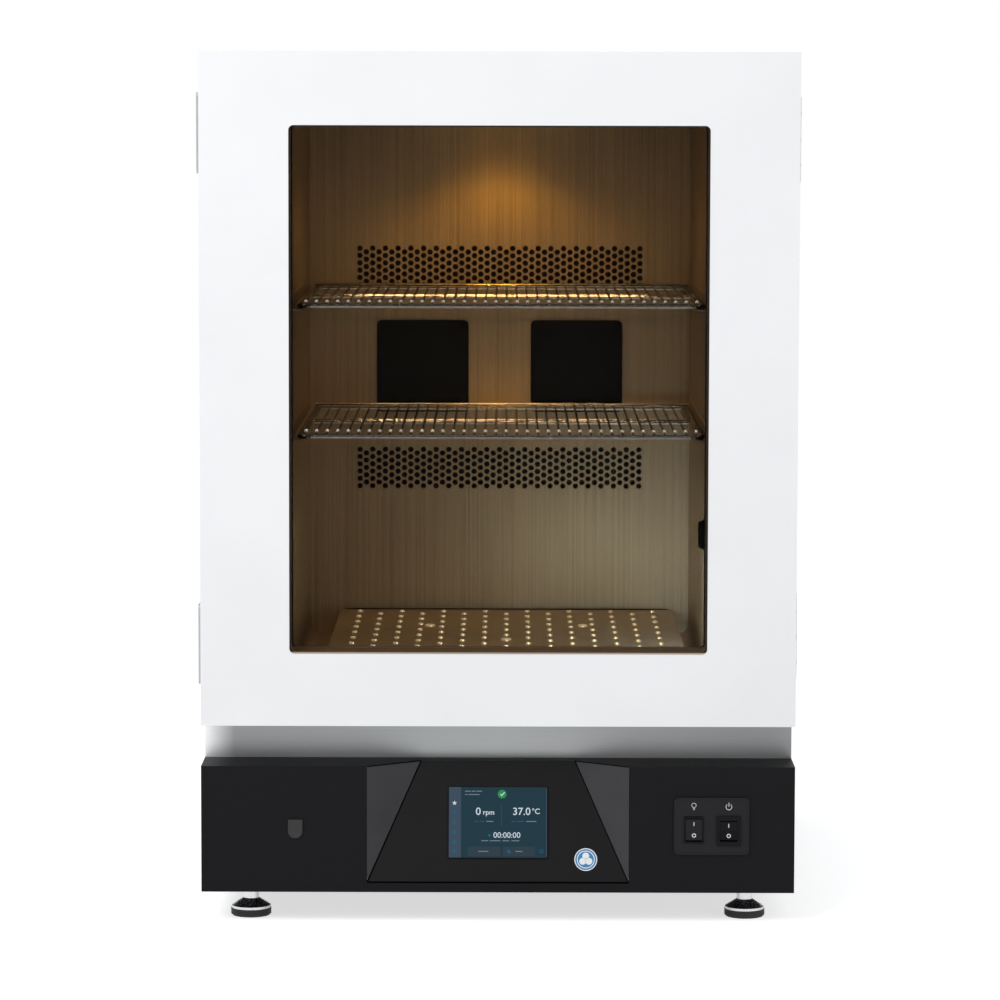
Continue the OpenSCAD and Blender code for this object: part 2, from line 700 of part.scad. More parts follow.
wire_p = (shelf_w - 2 * frame_d - 6) / (wire_n - 1);
bend_r = 14;
stop_up = 3;
module wire_shelf(z) color("#c7c9ca") translate([shelf_x, 0, z_floor + z]) {
    w = shelf_w / 2 - frame_d / 2;
    ya = y_sh0 + frame_d / 2;
    yb = y_sh1 - frame_d / 2;
    r = frame_d / 2;
    zf = -frame_d / 2;
    // bent frame with round front corners
    for (s = [-1, 1]) {
        rod_y(s * w, ya + bend_r, yb + r, zf, r);
        translate([s * (w - bend_r), ya + bend_r, zf]) rotate([0, 0, s > 0 ? -90 : 180])
            rotate_extrude(angle = 90) translate([bend_r, 0]) circle(r);
    }
    rod_x(-w + bend_r, w - bend_r, ya, zf, r);
    // cross bars, and a raised stop rod that lies on the frame at the back
    for (y = [ya + 0.46 * shelf_d, ya + 0.52 * shelf_d, yb - 22])
        rod_x(-w, w, y, zf, r - 0.5);
    rod_x(-w - r + 0.5, w + r - 0.5, yb, zf + stop_up, r);
    // close wires from front to back, welded on top of the bars
    for (i = [0:wire_n - 1])
        rod_y((i - (wire_n - 1) / 2) * wire_p, ya - r - 0.6, yb + r / 2, -wire_d / 2 + 0.6, wire_d / 2,
            $fn = 8);
}
module shelf_lower() wire_shelf(shelf_z1);
module shelf_upper() wire_shelf(shelf_z2);

// ---------- drive ----------
module bear_pos(z) for (p = drive_pts) translate([p[0], p[1], z]) children();

module drive_frame() color("#77797b") difference() {
    union() {
        linear_extrude_at(z_deck, frame_t) difference() {
            hull_tri(40);
            translate([0, plat_cy]) circle(30);
        }
        bear_pos(z_deck) cylinder(h = z_tower - z_deck, r = bear_o + 8);
        // ribs between the towers
        for (i = [0:2]) rib(drive_pts[i], drive_pts[(i + 1) % 3], 8, z_deck, z_tower - 20);
    }
    for (i = [0:2]) translate([drive_pts[i][0], drive_pts[i][1], z_deck - 1])
        cylinder(h = z_tower - z_deck + 2, r = i == 0 ? bear_o : idl_bear_o);
}
module linear_extrude_at(z, h) translate([0, 0, z]) linear_extrude(h) children();
module hull_tri(r) {
    for (p = drive_pts) translate(p) circle(r);
    polygon(drive_pts);
    for (i = [0:2]) link2(drive_pts[i], drive_pts[(i + 1) % 3], 2 * r);
}
module link2(a, b, w) translate(a) rotate(atan2(b[1] - a[1], b[0] - a[0]))
    translate([0, -w / 2]) square([norm(b - a), w]);
module rib(a, b, t, z0, z1) translate([0, 0, z0]) linear_extrude(z1 - z0) link2(a, b, t);

module drive_bearings() color("#d0d2d3") for (i = [0:2])
    translate([drive_pts[i][0], drive_pts[i][1], 0]) {
        for (z = [z_deck + 3, z_tower - bear_w - 2]) translate([0, 0, z])
            ring(i == 0 ? bear_o : idl_bear_o, (i == 0 ? shaft_r : idl_r) + run_c, bear_w);
        // lip seal under the chamber floor
        translate([0, 0, z_tower]) ring(bear_o + 4, (i == 0 ? shaft_r : idl_r) + 0.3,
            z_floor - liner_t - z_tower);
    }

module drive_shaft() color("#b4b6b8") translate([drive_pts[0][0], drive_pts[0][1], 0]) {
    translate([0, 0, pulley_z - 14]) cylinder(h = z_crank - pulley_z + 14, r = shaft_r);
    translate([0, 0, z_crank]) cylinder(h = crank_t, r = 28);
    translate([orbit_r, 0, z_crank]) cylinder(h = pin_top - z_crank, r = pin_r);
}

module drive_pulley() color("#8c8f91") translate([drive_pts[0][0], drive_pts[0][1], pulley_z]) {
    difference() {
        union() {
            cylinder(h = pulley_h, r = pulley_r);
            for (z = [-2, pulley_h]) translate([0, 0, z]) cylinder(h = 2, r = pulley_r + belt_t + 1);
            translate([0, 0, -12]) cylinder(h = 12, r = 24);
        }
        translate([0, 0, -13]) cylinder(h = pulley_h + 30, r = shaft_r);
        for (a = [0:5]) rotate(a * 60) translate([38, 0, -3]) cylinder(h = pulley_h + 8, r = 11);
    }
    // balance weight opposite the pin
    difference() {
        translate([0, 0, pulley_h + 2 - EPS]) intersection() {
            ring(pulley_r, shaft_r + 8, 14);
            slab(-pulley_r, -4, -pulley_r, pulley_r, -1, 20);
        }
    }
}

module idler(i) color("#b4b6b8") translate([drive_pts[i][0], drive_pts[i][1], 0]) {
    translate([0, 0, z_deck + 1]) cylinder(h = z_crank - z_deck - 1, r = idl_r);
    translate([0, 0, z_crank]) cylinder(h = crank_t, r = 26);
    translate([orbit_r, 0, z_crank]) cylinder(h = pin_top - z_crank, r = idl_pin_r);
}
module idler_left() idler(1);
module idler_right() idler(2);

car_rim = 8;
module carriage() color("#9fa2a4") translate([plat_cx, 0, 0]) difference() {
    union() {
        for (p = drive_pts) translate([p[0], p[1], z_car0])
            cylinder(h = z_car1 - z_car0, r = car_bear_o + car_rim);
        for (p = screw_pts) translate([p[0], p[1] + plat_cy, z_car0])
            cylinder(h = z_car1 - z_car0, r = 14);
        for (i = [0:2]) rib(drive_pts[i], drive_pts[(i + 1) % 3], 10, z_car0, z_car1);
        for (i = [0:2]) rib([0, plat_cy], screw_pts[i] + [0, plat_cy], 10, z_car0, z_car1);
        translate([0, 0, z_car1 - 3]) linear_extrude(3) hull_tri(car_bear_o + car_rim);
    }
    for (i = [0:2]) translate([drive_pts[i][0], drive_pts[i][1], z_car0 - 1])
        cylinder(h = z_car1 - z_car0 - 1, r = car_bear_o);
    for (p = screw_pts) translate([p[0], p[1] + plat_cy, z_car0 - 1]) cylinder(h = 40, r = 3);
}

module carriage_bearings() color("#d0d2d3") translate([plat_cx, 0, 0]) for (i = [0:2])
    translate([drive_pts[i][0], drive_pts[i][1], z_car0 + 1])
        ring(car_bear_o, (i == 0 ? pin_r : idl_pin_r) + run_c, bear_w);

// platform with a diagonal lattice of threaded holes for flask clamps
lat_n = 7;
module platform() color("#9a9c9c") translate([plat_cx, plat_cy, z_plat - plat_t]) difference() {
    linear_extrude(plat_t) difference() {
        rrect(plat_w, plat_d, 8);
        for (i = [-lat_n:lat_n], j = [-lat_n:lat_n])
            if ((i + j) % 2 == 0) translate([i, j] * lat_p) circle(d = lat_d, $fn = 24);
        for (p = screw_pts) translate(p) circle(3.3);
    }
    for (p = screw_pts) translate([p[0], p[1], plat_t - 2.6]) cylinder(h = 3, r1 = 3.3, r2 = 6.3);
}

module platform_screws() color("#c9cbcc") for (p = screw_pts)
    translate([p[0] + plat_cx, p[1] + plat_cy, z_plat]) rotate_extrude()
        polygon([[0, -0.4], [1.8, -0.4], [1.8, -0.1], [5.6, -0.1], [3, -2.8],
            [3, -plat_t - 10], [0, -plat_t - 10]]);

module drive_motor() color("#3b3d42") translate([mot[0], mot[1], 0]) {
    // foot bracket, ribbed body, end bell and shaft
    slab(-60, 60, -60, 60, z_base + base_t + 8, z_base + base_t + 13);
    for (x = [-1, 1], y = [-1, 1]) translate([x * 50, y * 50, z_base + base_t])
        cylinder(h = 9, r = 7);
    translate([0, 0, z_base + base_t + 12]) {
        cylinder(h = pulley_z - 12 - z_base - base_t - 12, r = motor_r - 4);
        for (z = [0:5]) translate([0, 0, 6 + z * 11]) cylinder(h = 4, r = motor_r);
    }
    translate([0, 0, pulley_z - 14]) cylinder(h = 8, r = 22);
}

module motor_pulley() color("#8c8f91") translate([mot[0], mot[1], pulley_z]) {
    difference() {
        union() {
            cylinder(h = pulley_h, r = mpulley_r);
            for (z = [-2, pulley_h]) translate([0, 0, z]) cylinder(h = 2, r = mpulley_r + belt_t + 1);
            translate([0, 0, -5.7]) cylinder(h = 5, r = 10);
        }
        translate([0, 0, pulley_h - 6]) cylinder(h = 10, r = 4);
    }
}

// belt loop on the tangent lines of the two pulleys
belt_g = acos((pulley_r - mpulley_r) / belt_c);
belt_n = 24;
// belt outline as two arcs joined by straight runs, g mm outside the pulleys
module belt_2d(g) polygon(concat(
    [for (i = [0:belt_n]) let (a = belt_g + (360 - 2 * belt_g) * i / belt_n, r = pulley_r + g)
        [r * sin(a), r * cos(a)]],
    [for (i = [0:belt_n]) let (a = -belt_g + 2 * belt_g * i / belt_n, r = mpulley_r + g)
        [r * sin(a), belt_c + r * cos(a)]]));
module drive_belt() color("#19191b") translate([drive_pts[0][0], drive_pts[0][1],
    pulley_z + (pulley_h - belt_w) / 2]) linear_extrude(belt_w) difference() {
        belt_2d(belt_gap + belt_t);
        belt_2d(belt_gap);
    }

// ---------- electronics ----------
board_w = 170;
board_l = 100;
board_t = 1.6;
stand_h = 20;
stand_in = 10;
chip_w = 35;
chip_h = 7.5;
cap_r = 7;
cap_h = 16;
plug_h = 10.5;
board_y = y_front + 75;
board_z = z_base + base_t + stand_h;
module control_board() color("#2f6b45") {
    top = board_z + board_t - 0.1;
    slab(-board_w / 2, board_w / 2, board_y, board_y + board_l, board_z, board_z + board_t);
    for (s = [-1, 1], y = [stand_in, board_l - stand_in])
        translate([s * (board_w / 2 - stand_in), board_y + y, z_base + base_t])
            cylinder(h = stand_h + 0.01, r = 3);
    slab(-5 - chip_w, -5, board_y + 20, board_y + 20 + chip_w, top, top + chip_h);
    for (i = [0:2]) translate([20 + i * 18, board_y + 75, top]) cylinder(h = cap_h, r = cap_r);
    slab(7 - board_w / 2, board_w / 2 - 7, board_y + board_l - 15, board_y + board_l - 5,
        top, top + plug_h);
}

psu_slots = 10;
module power_supply() color("#a8aaab") difference() {
    slab(psu[0] - psu_w / 2, psu[0] + psu_w / 2, psu[1] - psu_l / 2, psu[1] + psu_l / 2,
        z_base + base_t, z_base + base_t + psu_h);
    for (i = [0:psu_slots - 1]) translate([psu[0], psu[1] + (i - (psu_slots - 1) / 2) * 16,
        z_base + base_t + psu_h - 1]) linear_extrude(5) rrect(psu_w - 40, 6, 2.9);
}

module power_inlet() color("#141416") difference() {
    union() {
        slab(inlet_x - 14, inlet_x + 14, y_rear - 26, y_rear + 2, inlet_z - 12.5, inlet_z + 12.5);
        plate_y(inlet_x, y_rear + 2.5, inlet_z, 2.5, 50, 31, 4);
    }
    translate([inlet_x, y_rear + 4, inlet_z]) rotate([90, 0, 0])
        linear_extrude(19) rrect(24.5, 17.5, 3);
    for (s = [-1, 1]) rod_y(inlet_x + s * 20, y_rear - 5, y_rear + 5, inlet_z, 1.8);
}

// ---------- hinges ----------
module knuckle(z0, z1, r) translate([hinge_x, hinge_y, z0]) cylinder(h = z1 - z0, r = r);
kn = hinge_l / 5;
kg = 0.3;

// leaves on the cabinet side carry the pins and the second and fourth knuckles
module cabinet_hinges() color("#9b9da0") for (z = hinge_z) difference() {
    union() {
        slab(x_out, x_out + leaf_t, y_cab + 0.4, y_cab + 32, z, z + hinge_l);
        for (k = [1, 3]) {
            slab(x_out, x_out + leaf_t, hinge_y, y_cab + 1, z + k * kn + kg, z + (k + 1) * kn - kg);
            knuckle(z + k * kn + kg, z + (k + 1) * kn - kg, knuckle_r);
        }
        knuckle(z, z + hinge_l, pin_hr);
    }
    for (k = [0.2, 0.5, 0.8]) rod_x(x_out - 1, x_out + 4, y_cab + 19, z + k * hinge_l, 2.25);
}

module door_hinge_leaves() color("#a4a6a9") for (z = hinge_z) difference() {
    union() {
        slab(x_out + 0.02, x_out + leaf_t, y_door_in - 36, y_door_in - 0.4, z, z + hinge_l);
        for (k = [0, 2, 4]) {
            slab(x_out + 0.02, x_out + leaf_t, y_door_in - 1, hinge_y, z + k * kn + kg, z + (k + 1) * kn - kg);
            knuckle(z + k * kn + kg, z + (k + 1) * kn - kg, knuckle_r);
        }
    }
    knuckle(z - 1, z + hinge_l + 1, pin_hr + run_c);
    for (k = [0.2, 0.5, 0.8]) rod_x(x_out - 1, x_out + 4, y_door_in - 20, z + k * hinge_l, 2.25);
}

module hinge_screws() color("#2c2d30") for (z = hinge_z, k = [0.2, 0.5, 0.8])
    translate([x_out - 8, y_door_in - 20, z + k * hinge_l]) rotate([0, 90, 0]) {
        cylinder(h = 8 + leaf_t, r = 2.2);
        translate([0, 0, 8 + leaf_t]) cylinder(h = 1.2, r1 = 4, r2 = 3);
    }

module cabinet_screws() color("#8b8d90") {
    for (z = hinge_z, k = [0.2, 0.5, 0.8])
        translate([x_out - 8, y_cab + 19, z + k * hinge_l]) rotate([0, 90, 0]) {
            cylinder(h = 8 + leaf_t, r = 2.2);
            translate([0, 0, 8 + leaf_t]) cylinder(h = 1.2, r1 = 4, r2 = 3);
        }
    // rear cover screws
    for (x = [-1, 1], z = [0.04, 0.35, 0.65, 0.96]) rod_y(x * (x_out - 12), y_rear,
        y_rear + 1.8, z_deck + z * (z_roof - z_deck), 4);
}

// the door can hang on either side: blank plates close the other hinge seats
module hinge_blank_plates() color("#cfd1d4") for (z = [z_door + blank_z, z_roof - blank_z])
    translate([-x_out - 0.02, y_door_in - 30, z]) rotate([0, -90, 0])
        linear_extrude(3) rrect(hinge_l - 6, 44, 3);

// ---------- door ----------
module door_skin() color("#eef0f2") difference() {
    union() {
        slab(-x_out, x_out, y_front, y_door_in - 2, z_door, z_roof);
    }
    // hollow, open at the back
    difference() {
        slab(-x_out + skin_t, x_out - skin_t, y_front + skin_t, y_door_in, z_door + skin_t,
            z_roof - skin_t);
        // return round the window
        translate([0, y_g1, win_zc]) rotate([90, 0, 0]) linear_extrude(30)
            rrect(win_w + 2 * skin_t, win_h + 2 * skin_t, win_r + skin_t);
    }
    translate([0, y_door_in, win_zc]) rotate([90, 0, 0]) linear_extrude(door_t + 1)
        rrect(win_w, win_h, win_r);
    // seats for the hinge screws
    for (z = hinge_z, k = [0.2, 0.5, 0.8])
        rod_x(x_out - 9, x_out + 4, y_door_in - 20, z + k * hinge_l, 2.2);
}

in_g = skin_t + 0.3;
module door_inner_panel() color("#f2f2f0") difference() {
    union() {
        slab(-x_out, x_out, y_door_in - 2 + EPS, y_door_in, z_door, z_roof);
        slab(-x_out + in_g, x_out - in_g, y_g2 + 0.2, y_door_in - 1, z_door + in_g, z_roof - in_g);
    }
    difference() {
        slab(-x_out + in_g + 3, x_out - in_g - 3, y_door_in - 13, y_door_in - 2,
            z_door + in_g + 3, z_roof - in_g - 3);
        // return that holds the inner glass
        translate([0, y_door_in, win_zc]) rotate([90, 0, 0]) linear_extrude(door_t)
            rrect(win_w + 4, win_h + 4, win_r + 2);
    }
    translate([0, y_door_in + 1, win_zc]) rotate([90, 0, 0]) linear_extrude(door_t)
        rrect(win_w, win_h, win_r);
}

module pane(y) plate_y(0, y, win_zc, glass_t, win_w - 2 * seal_w, win_h - 2 * seal_w,
    win_r - seal_w);
module outer_glass() color("#8a8478", 0.4) pane(y_g1);
module inner_glass() color("#8a8478", 0.4) pane(y_g2 + glass_t);

module glass_spacer() color("#cfcfcc") frame_y(0, y_g2 - 0.02, win_zc, y_g2 - y_g1 - 0.04,
    win_w + 14, win_h + 14, win_r + 7, win_w - 0.6, win_h - 0.6, win_r - 0.3);

gask_w = 16;
module door_seals() color("#1c1c1e") {
    // glazing seals
    for (y = [y_g1, y_g2 + glass_t])
        frame_y(0, y, win_zc, glass_t, win_w - EPS, win_h - EPS, win_r,
            win_w - 2 * seal_w, win_h - 2 * seal_w, win_r - seal_w);
    // magnetic gasket round the chamber mouth
    frame_y(0, y_cab - 0.3, z_floor + ch_h / 2, door_gap - 0.3, ch_w + 4 * gask_w,
        ch_h + 3.2 * gask_w, ch_r + gask_w, ch_w + 2 * gask_w, ch_h + gask_w, ch_r + 4);
}

base_tray();
base_housing();
base_front_panel();
console_plate();
touch_screen();
switch_plate();
switch_housings();
port_cover();
side_panels();
roof_panel();
rear_cover();
front_frame();
chamber_liner();
foam_insulation();
plenum_panel();
fan_guards();
fan_housings();
heater_coil();
temperature_probe();
chamber_lamp();
cabinet_screws();
port_sleeve();
shelf_rails();
drive_frame();
drive_bearings();
drive_motor();
drive_belt();
control_board();
power_supply();
power_inlet();
cabinet_hinges();
door_skin();
door_inner_panel();
outer_glass();
inner_glass();
glass_spacer();
door_seals();
door_hinge_leaves();
hinge_screws();
hinge_blank_plates();
drive_shaft();
drive_pulley();
carriage();
carriage_bearings();
platform();
platform_screws();
idler_left();
idler_right();
motor_pulley();
fan_rotor_left();
fan_rotor_right();
shelf_lower();
shelf_upper();
port_stopper();
light_rocker();
power_rocker();
foot_front_left();
foot_front_right();
foot_rear_left();
foot_rear_right();
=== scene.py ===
import math

import bmesh
import bpy
from mathutils import Matrix, Vector


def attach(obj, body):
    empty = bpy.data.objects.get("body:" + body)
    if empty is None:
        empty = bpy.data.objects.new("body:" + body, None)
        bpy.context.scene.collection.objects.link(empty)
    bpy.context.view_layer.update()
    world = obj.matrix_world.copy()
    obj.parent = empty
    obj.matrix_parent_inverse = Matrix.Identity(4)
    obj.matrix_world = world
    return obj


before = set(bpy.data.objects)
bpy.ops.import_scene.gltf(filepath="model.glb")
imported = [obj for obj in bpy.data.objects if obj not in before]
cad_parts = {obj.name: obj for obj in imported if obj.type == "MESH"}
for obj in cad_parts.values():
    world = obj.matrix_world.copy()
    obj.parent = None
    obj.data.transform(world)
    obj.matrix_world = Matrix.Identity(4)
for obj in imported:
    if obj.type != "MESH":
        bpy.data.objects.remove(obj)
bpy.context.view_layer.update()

MM = 0.001
WALL_Y = 0.2112  # just behind the front face of the perforated wall


# ---------- node helpers ----------
class Nodes:
    """A material and short calls that add and link its nodes."""

    def __init__(self, name):
        self.m = bpy.data.materials.new(name)
        self.m.use_nodes = True
        self.t = self.m.node_tree
        self.t.nodes.clear()
        self.out = self.add("ShaderNodeOutputMaterial")

    def add(self, kind, **kw):
        n = self.t.nodes.new(kind)
        for k, v in kw.items():
            if hasattr(n, k):
                setattr(n, k, v)
            else:
                n.inputs[k.replace("_", " ")].default_value = v
        return n

    def link(self, a, b):
        self.t.links.new(a, b)

    def coord(self, scale=(1, 1, 1), kind="Object"):
        c = self.add("ShaderNodeTexCoord")
        m = self.add("ShaderNodeMapping")
        m.inputs["Scale"].default_value = scale
        self.link(c.outputs[kind], m.inputs["Vector"])
        return m.outputs["Vector"]

    def noise(self, scale, vec=None, detail=3.0, rough=0.55):
        n = self.add("ShaderNodeTexNoise")
        n.inputs["Scale"].default_value = scale
        n.inputs["Detail"].default_value = detail
        n.inputs["Roughness"].default_value = rough
        self.link(vec if vec is not None else self.coord(), n.inputs["Vector"])
        return n.outputs["Fac"]

    def ramp(self, fac, *stops):
        r = self.add("ShaderNodeValToRGB")
        e = r.color_ramp.elements
        while len(e) < len(stops):
            e.new(0.5)
        for i, (p, c) in enumerate(stops):
            e[i].position = p
            e[i].color = (*c, 1) if len(c) == 3 else c
        self.link(fac, r.inputs["Fac"])
        return r.outputs["Color"]

    def span(self, fac, a, b, lo=0.0, hi=1.0):
        r = self.add("ShaderNodeMapRange")
        for k, v in (("From Min", lo), ("From Max", hi), ("To Min", a), ("To Max", b)):
            r.inputs[k].default_value = v
        self.link(fac, r.inputs["Value"])
        return r.outputs["Result"]

    def bump(self, fac, strength, dist=0.0002, onto=None):
        b = self.add("ShaderNodeBump")
        b.inputs["Strength"].default_value = strength
        b.inputs["Distance"].default_value = dist
        self.link(fac, b.inputs["Height"])
        if onto is not None:
            self.link(onto, b.inputs["Normal"])
        return b.outputs["Normal"]

    def bsdf(self, color, rough, metal=0.0, normal=None, **kw):
        p = self.add("ShaderNodeBsdfPrincipled")
        for key, v in (("Base Color", color), ("Roughness", rough)):
            if hasattr(v, "is_linked") or hasattr(v, "links"):
                self.link(v, p.inputs[key])
            elif key == "Base Color":
                p.inputs[key].default_value = (*v, 1)
            else:
                p.inputs[key].default_value = v
        p.inputs["Metallic"].default_value = metal
        for k, v in kw.items():
            p.inputs[k.replace("_", " ")].default_value = v
        if normal is not None:
            self.link(normal, p.inputs["Normal"])
        return p.outputs["BSDF"]

    def done(self, shader):
        self.link(shader, self.out.inputs["Surface"])
        return self.m


def tint(c, k):
    return tuple(min(1.0, v * k) for v in c)


def painted(name, color, rough=0.36, grain=900, depth=0.05, **kw):
    """Powder coat or moulded plastic: a fine orange peel and a faint change of tone."""
    n = Nodes(name)
    fine = n.noise(grain)
    wide = n.noise(6, detail=4)
    col = n.ramp(wide, (0.35, tint(color, 0.965)), (0.65, color))
    r = n.span(fine, rough - 0.04, rough + 0.04, 0.3, 0.7)
    return n.done(n.bsdf(col, r, normal=n.bump(fine, depth), **kw))


def brushed(name, color, rough=0.3, along=(900, 900, 9), depth=0.08, metal=1.0, spread=0.12):
    """Metal brushed along the axis whose scale is small."""
    n = Nodes(name)
    v = n.coord(along)
    fine = n.noise(1.0, v, detail=4, rough=0.7)
    wide = n.noise(3.0, detail=3)
    col = n.ramp(fine, (0.3, tint(color, 1 - spread)), (0.7, tint(color, 1 + spread * 0.4)))
    mix = n.add("ShaderNodeMixRGB", blend_type="MULTIPLY")
    mix.inputs["Fac"].default_value = 1
    n.link(col, mix.inputs["Color1"])
    n.link(n.ramp(wide, (0.3, (0.9, 0.9, 0.9)), (0.7, (1, 1, 1))), mix.inputs["Color2"])
    r = n.span(fine, rough - 0.07, rough + 0.08, 0.3, 0.7)
    return n.done(n.bsdf(mix.outputs["Color"], r, metal, n.bump(fine, depth)))


def glow(name, color, strength=1.0):
    """A lit pixel area: an emission over a dark glossy pane."""
    n = Nodes(name)
    fine = n.noise(2500)
    p = n.add("ShaderNodeBsdfPrincipled")
    p.inputs["Base Color"].default_value = (*tint(color, 0.05), 1)
    p.inputs["Roughness"].default_value = 0.25
    p.inputs["Specular IOR Level"].default_value = 0.1
    n.link(n.ramp(fine, (0.3, tint(color, 0.96)), (0.7, color)), p.inputs["Emission Color"])
    p.inputs["Emission Strength"].default_value = strength
    return n.done(p.outputs["BSDF"])


def metal_with_painted_highlight(name, color, rough, lift):
    """Polished metal with a little light of its own as a painted highlight, so it stays bright in
    the warm chamber.
    """
    n = Nodes(name)
    fine = n.noise(1.0, n.coord((400, 400, 400)), detail=3)
    p = n.add("ShaderNodeBsdfPrincipled")
    n.link(n.ramp(fine, (0.3, tint(color, 0.94)), (0.7, color)), p.inputs["Base Color"])
    p.inputs["Roughness"].default_value = rough
    p.inputs["Metallic"].default_value = 0.9
    # emission: a painted highlight, the part is no lamp
    p.inputs["Emission Color"].default_value = (*color, 1)
    p.inputs["Emission Strength"].default_value = lift
    return n.done(p.outputs["BSDF"])


# ---------- materials ----------
M = {}
M["white"] = painted("white_powder_coat", (0.885, 0.890, 0.899), 0.34, 1100, 0.03)
M["black"] = painted("black_fine_texture", (0.0068, 0.0062, 0.0074), 0.5, 2600, 0.4,
                     Specular_IOR_Level=0.09)
M["plate"] = painted("switch_plate_plastic", (0.0098, 0.0093, 0.0112), 0.38, 1800, 0.15,
                     Specular_IOR_Level=0.16)
M["gloss_black"] = painted("gloss_black_plastic", (0.006, 0.006, 0.007), 0.16, 700, 0.02,
                           Specular_IOR_Level=0.08)
M["dark_grey"] = painted("dark_grey_plastic", (0.0085, 0.0085, 0.0098), 0.34, 1500, 0.1,
                         Specular_IOR_Level=0.16)
# near-black without sheen: painted shadow along the console folds and the platform's back edge,
# and the own colour of the port stopper and the fan cover screws
M["seam"] = painted("fold_shadow", (0.0008, 0.0008, 0.0008), 0.9, 900, 0.1,
                    Specular_IOR_Level=0.0)
M["rubber"] = painted("black_rubber", (0.012, 0.012, 0.012), 0.7, 1900, 0.3)
M["fan"] = painted("fan_plastic", (0.0028, 0.0037, 0.0054), 0.5, 1500, 0.15,
                   Specular_IOR_Level=0.12)
M["moulding"] = painted("white_moulding", (0.80, 0.80, 0.77), 0.42, 1200, 0.06)
M["foam"] = painted("foam", (0.72, 0.66, 0.42), 0.9, 500, 0.8)
M["board"] = painted("circuit_board", (0.02, 0.16, 0.07), 0.4, 900, 0.2)
M["motor"] = painted("motor_paint", (0.045, 0.05, 0.06), 0.45, 700, 0.2)
# inserts, screw caps and weld beads glow a little: painted highlights
M["glint"] = metal_with_painted_highlight("insert_brass_painted_highlight", (0.98, 0.76, 0.45), 0.25, 0.5)
M["bead"] = metal_with_painted_highlight("weld_bead_painted_highlight", (0.93, 0.89, 0.79), 0.2, 0.8)
M["motif_white"] = painted("motif_white", (0.82, 0.84, 0.86), 0.4, 900, 0.02)
M["motif_blue"] = painted("motif_blue", (0.03, 0.20, 0.42), 0.4, 900, 0.02)
M["mark"] = painted("mark_white", (0.66, 0.67, 0.69), 0.5, 900, 0.02)
M["platform"] = brushed("platform_alloy", (0.60, 0.48, 0.31), 0.42, (9, 300, 300), 0.03, 0.5)
M["hinge"] = brushed("hinge_steel", (0.45, 0.45, 0.46), 0.34, (500, 500, 60), 0.1)
M["steel"] = brushed("steel", (0.62, 0.63, 0.64), 0.3, (700, 700, 40), 0.1)
M["dark_steel"] = brushed("dark_screw", (0.03, 0.03, 0.034), 0.35, (500, 500, 500), 0.1)
M["cast"] = brushed("cast_alloy", (0.52, 0.53, 0.54), 0.55, (260, 260, 260), 0.5)
M["heater"] = brushed("heater_tube", (0.42, 0.36, 0.30), 0.45, (300, 300, 300), 0.3)


def apron_painted_reflection():
    """Brushed sheet with painted reflection: lighter towards the middle of the cabinet, darker at
    both ends, and a white painted reflection of a studio light at its left end.
    """
    n = Nodes("apron_stainless_painted_reflection")
    fine = n.noise(1.0, n.coord((12, 900, 900)), detail=4, rough=0.7)
    c = n.add("ShaderNodeSeparateXYZ")
    n.link(n.coord(), c.inputs["Vector"])
    # painted reflection across X: white at the left end, lighter in the middle
    x = n.span(c.outputs["X"], 0, 1, -0.35, 0.35)
    col = n.ramp(x, (0.0, (0.86, 0.87, 0.88)), (0.05, (0.31, 0.32, 0.325)),
                 (0.5, (0.36, 0.37, 0.372)), (0.97, (0.27, 0.275, 0.28)))
    mix = n.add("ShaderNodeMixRGB", blend_type="MULTIPLY")
    mix.inputs["Fac"].default_value = 1
    n.link(col, mix.inputs["Color1"])
    n.link(n.ramp(fine, (0.3, (0.88, 0.88, 0.88)), (0.7, (1, 1, 1))), mix.inputs["Color2"])
    r = n.span(fine, 0.3, 0.42, 0.3, 0.7)
    return n.done(n.bsdf(mix.outputs["Color"], r, 0.85, n.bump(fine, 0.08)))


PAD_TOP = 0.009


def foot_metal():
    """Zinc-plated foot whose pad is black rubber below the steel cup."""
    n = Nodes("foot_zinc_and_rubber")
    fine = n.noise(420)
    c = n.add("ShaderNodeSeparateXYZ")
    n.link(n.coord(), c.inputs["Vector"])
    step = n.add("ShaderNodeMath", operation="GREATER_THAN")
    n.link(c.outputs["Z"], step.inputs[0])
    step.inputs[1].default_value = PAD_TOP
    metal = n.bsdf(n.ramp(fine, (0.3, (0.56, 0.56, 0.57)), (0.7, (0.72, 0.72, 0.73))),
                   n.span(fine, 0.2, 0.34, 0.3, 0.7), 1.0, n.bump(fine, 0.15))
    pad = n.bsdf(n.ramp(fine, (0.3, (0.010, 0.010, 0.010)), (0.7, (0.016, 0.016, 0.016))),
                 n.span(fine, 0.6, 0.75, 0.3, 0.7), 0.0, n.bump(fine, 0.3))
    mix = n.add("ShaderNodeMixShader")
    n.link(step.outputs[0], mix.inputs["Fac"])
    n.link(pad, mix.inputs[1])
    n.link(metal, mix.inputs[2])
    return n.done(mix.outputs["Shader"])


def pane(name, color, alpha, shine):
    """Coated glass: a thin tint over what is behind it, and a clean reflection."""
    n = Nodes(name)
    wide = n.noise(2.5, detail=2)
    col = n.ramp(wide, (0.3, tint(color, 0.94)), (0.7, color))
    return n.done(n.bsdf(col, 0.03, Alpha=alpha, IOR=1.5, Specular_IOR_Level=shine))


GLASS_LOW = min(v[2] for v in bpy.data.objects["outer_glass"].bound_box)


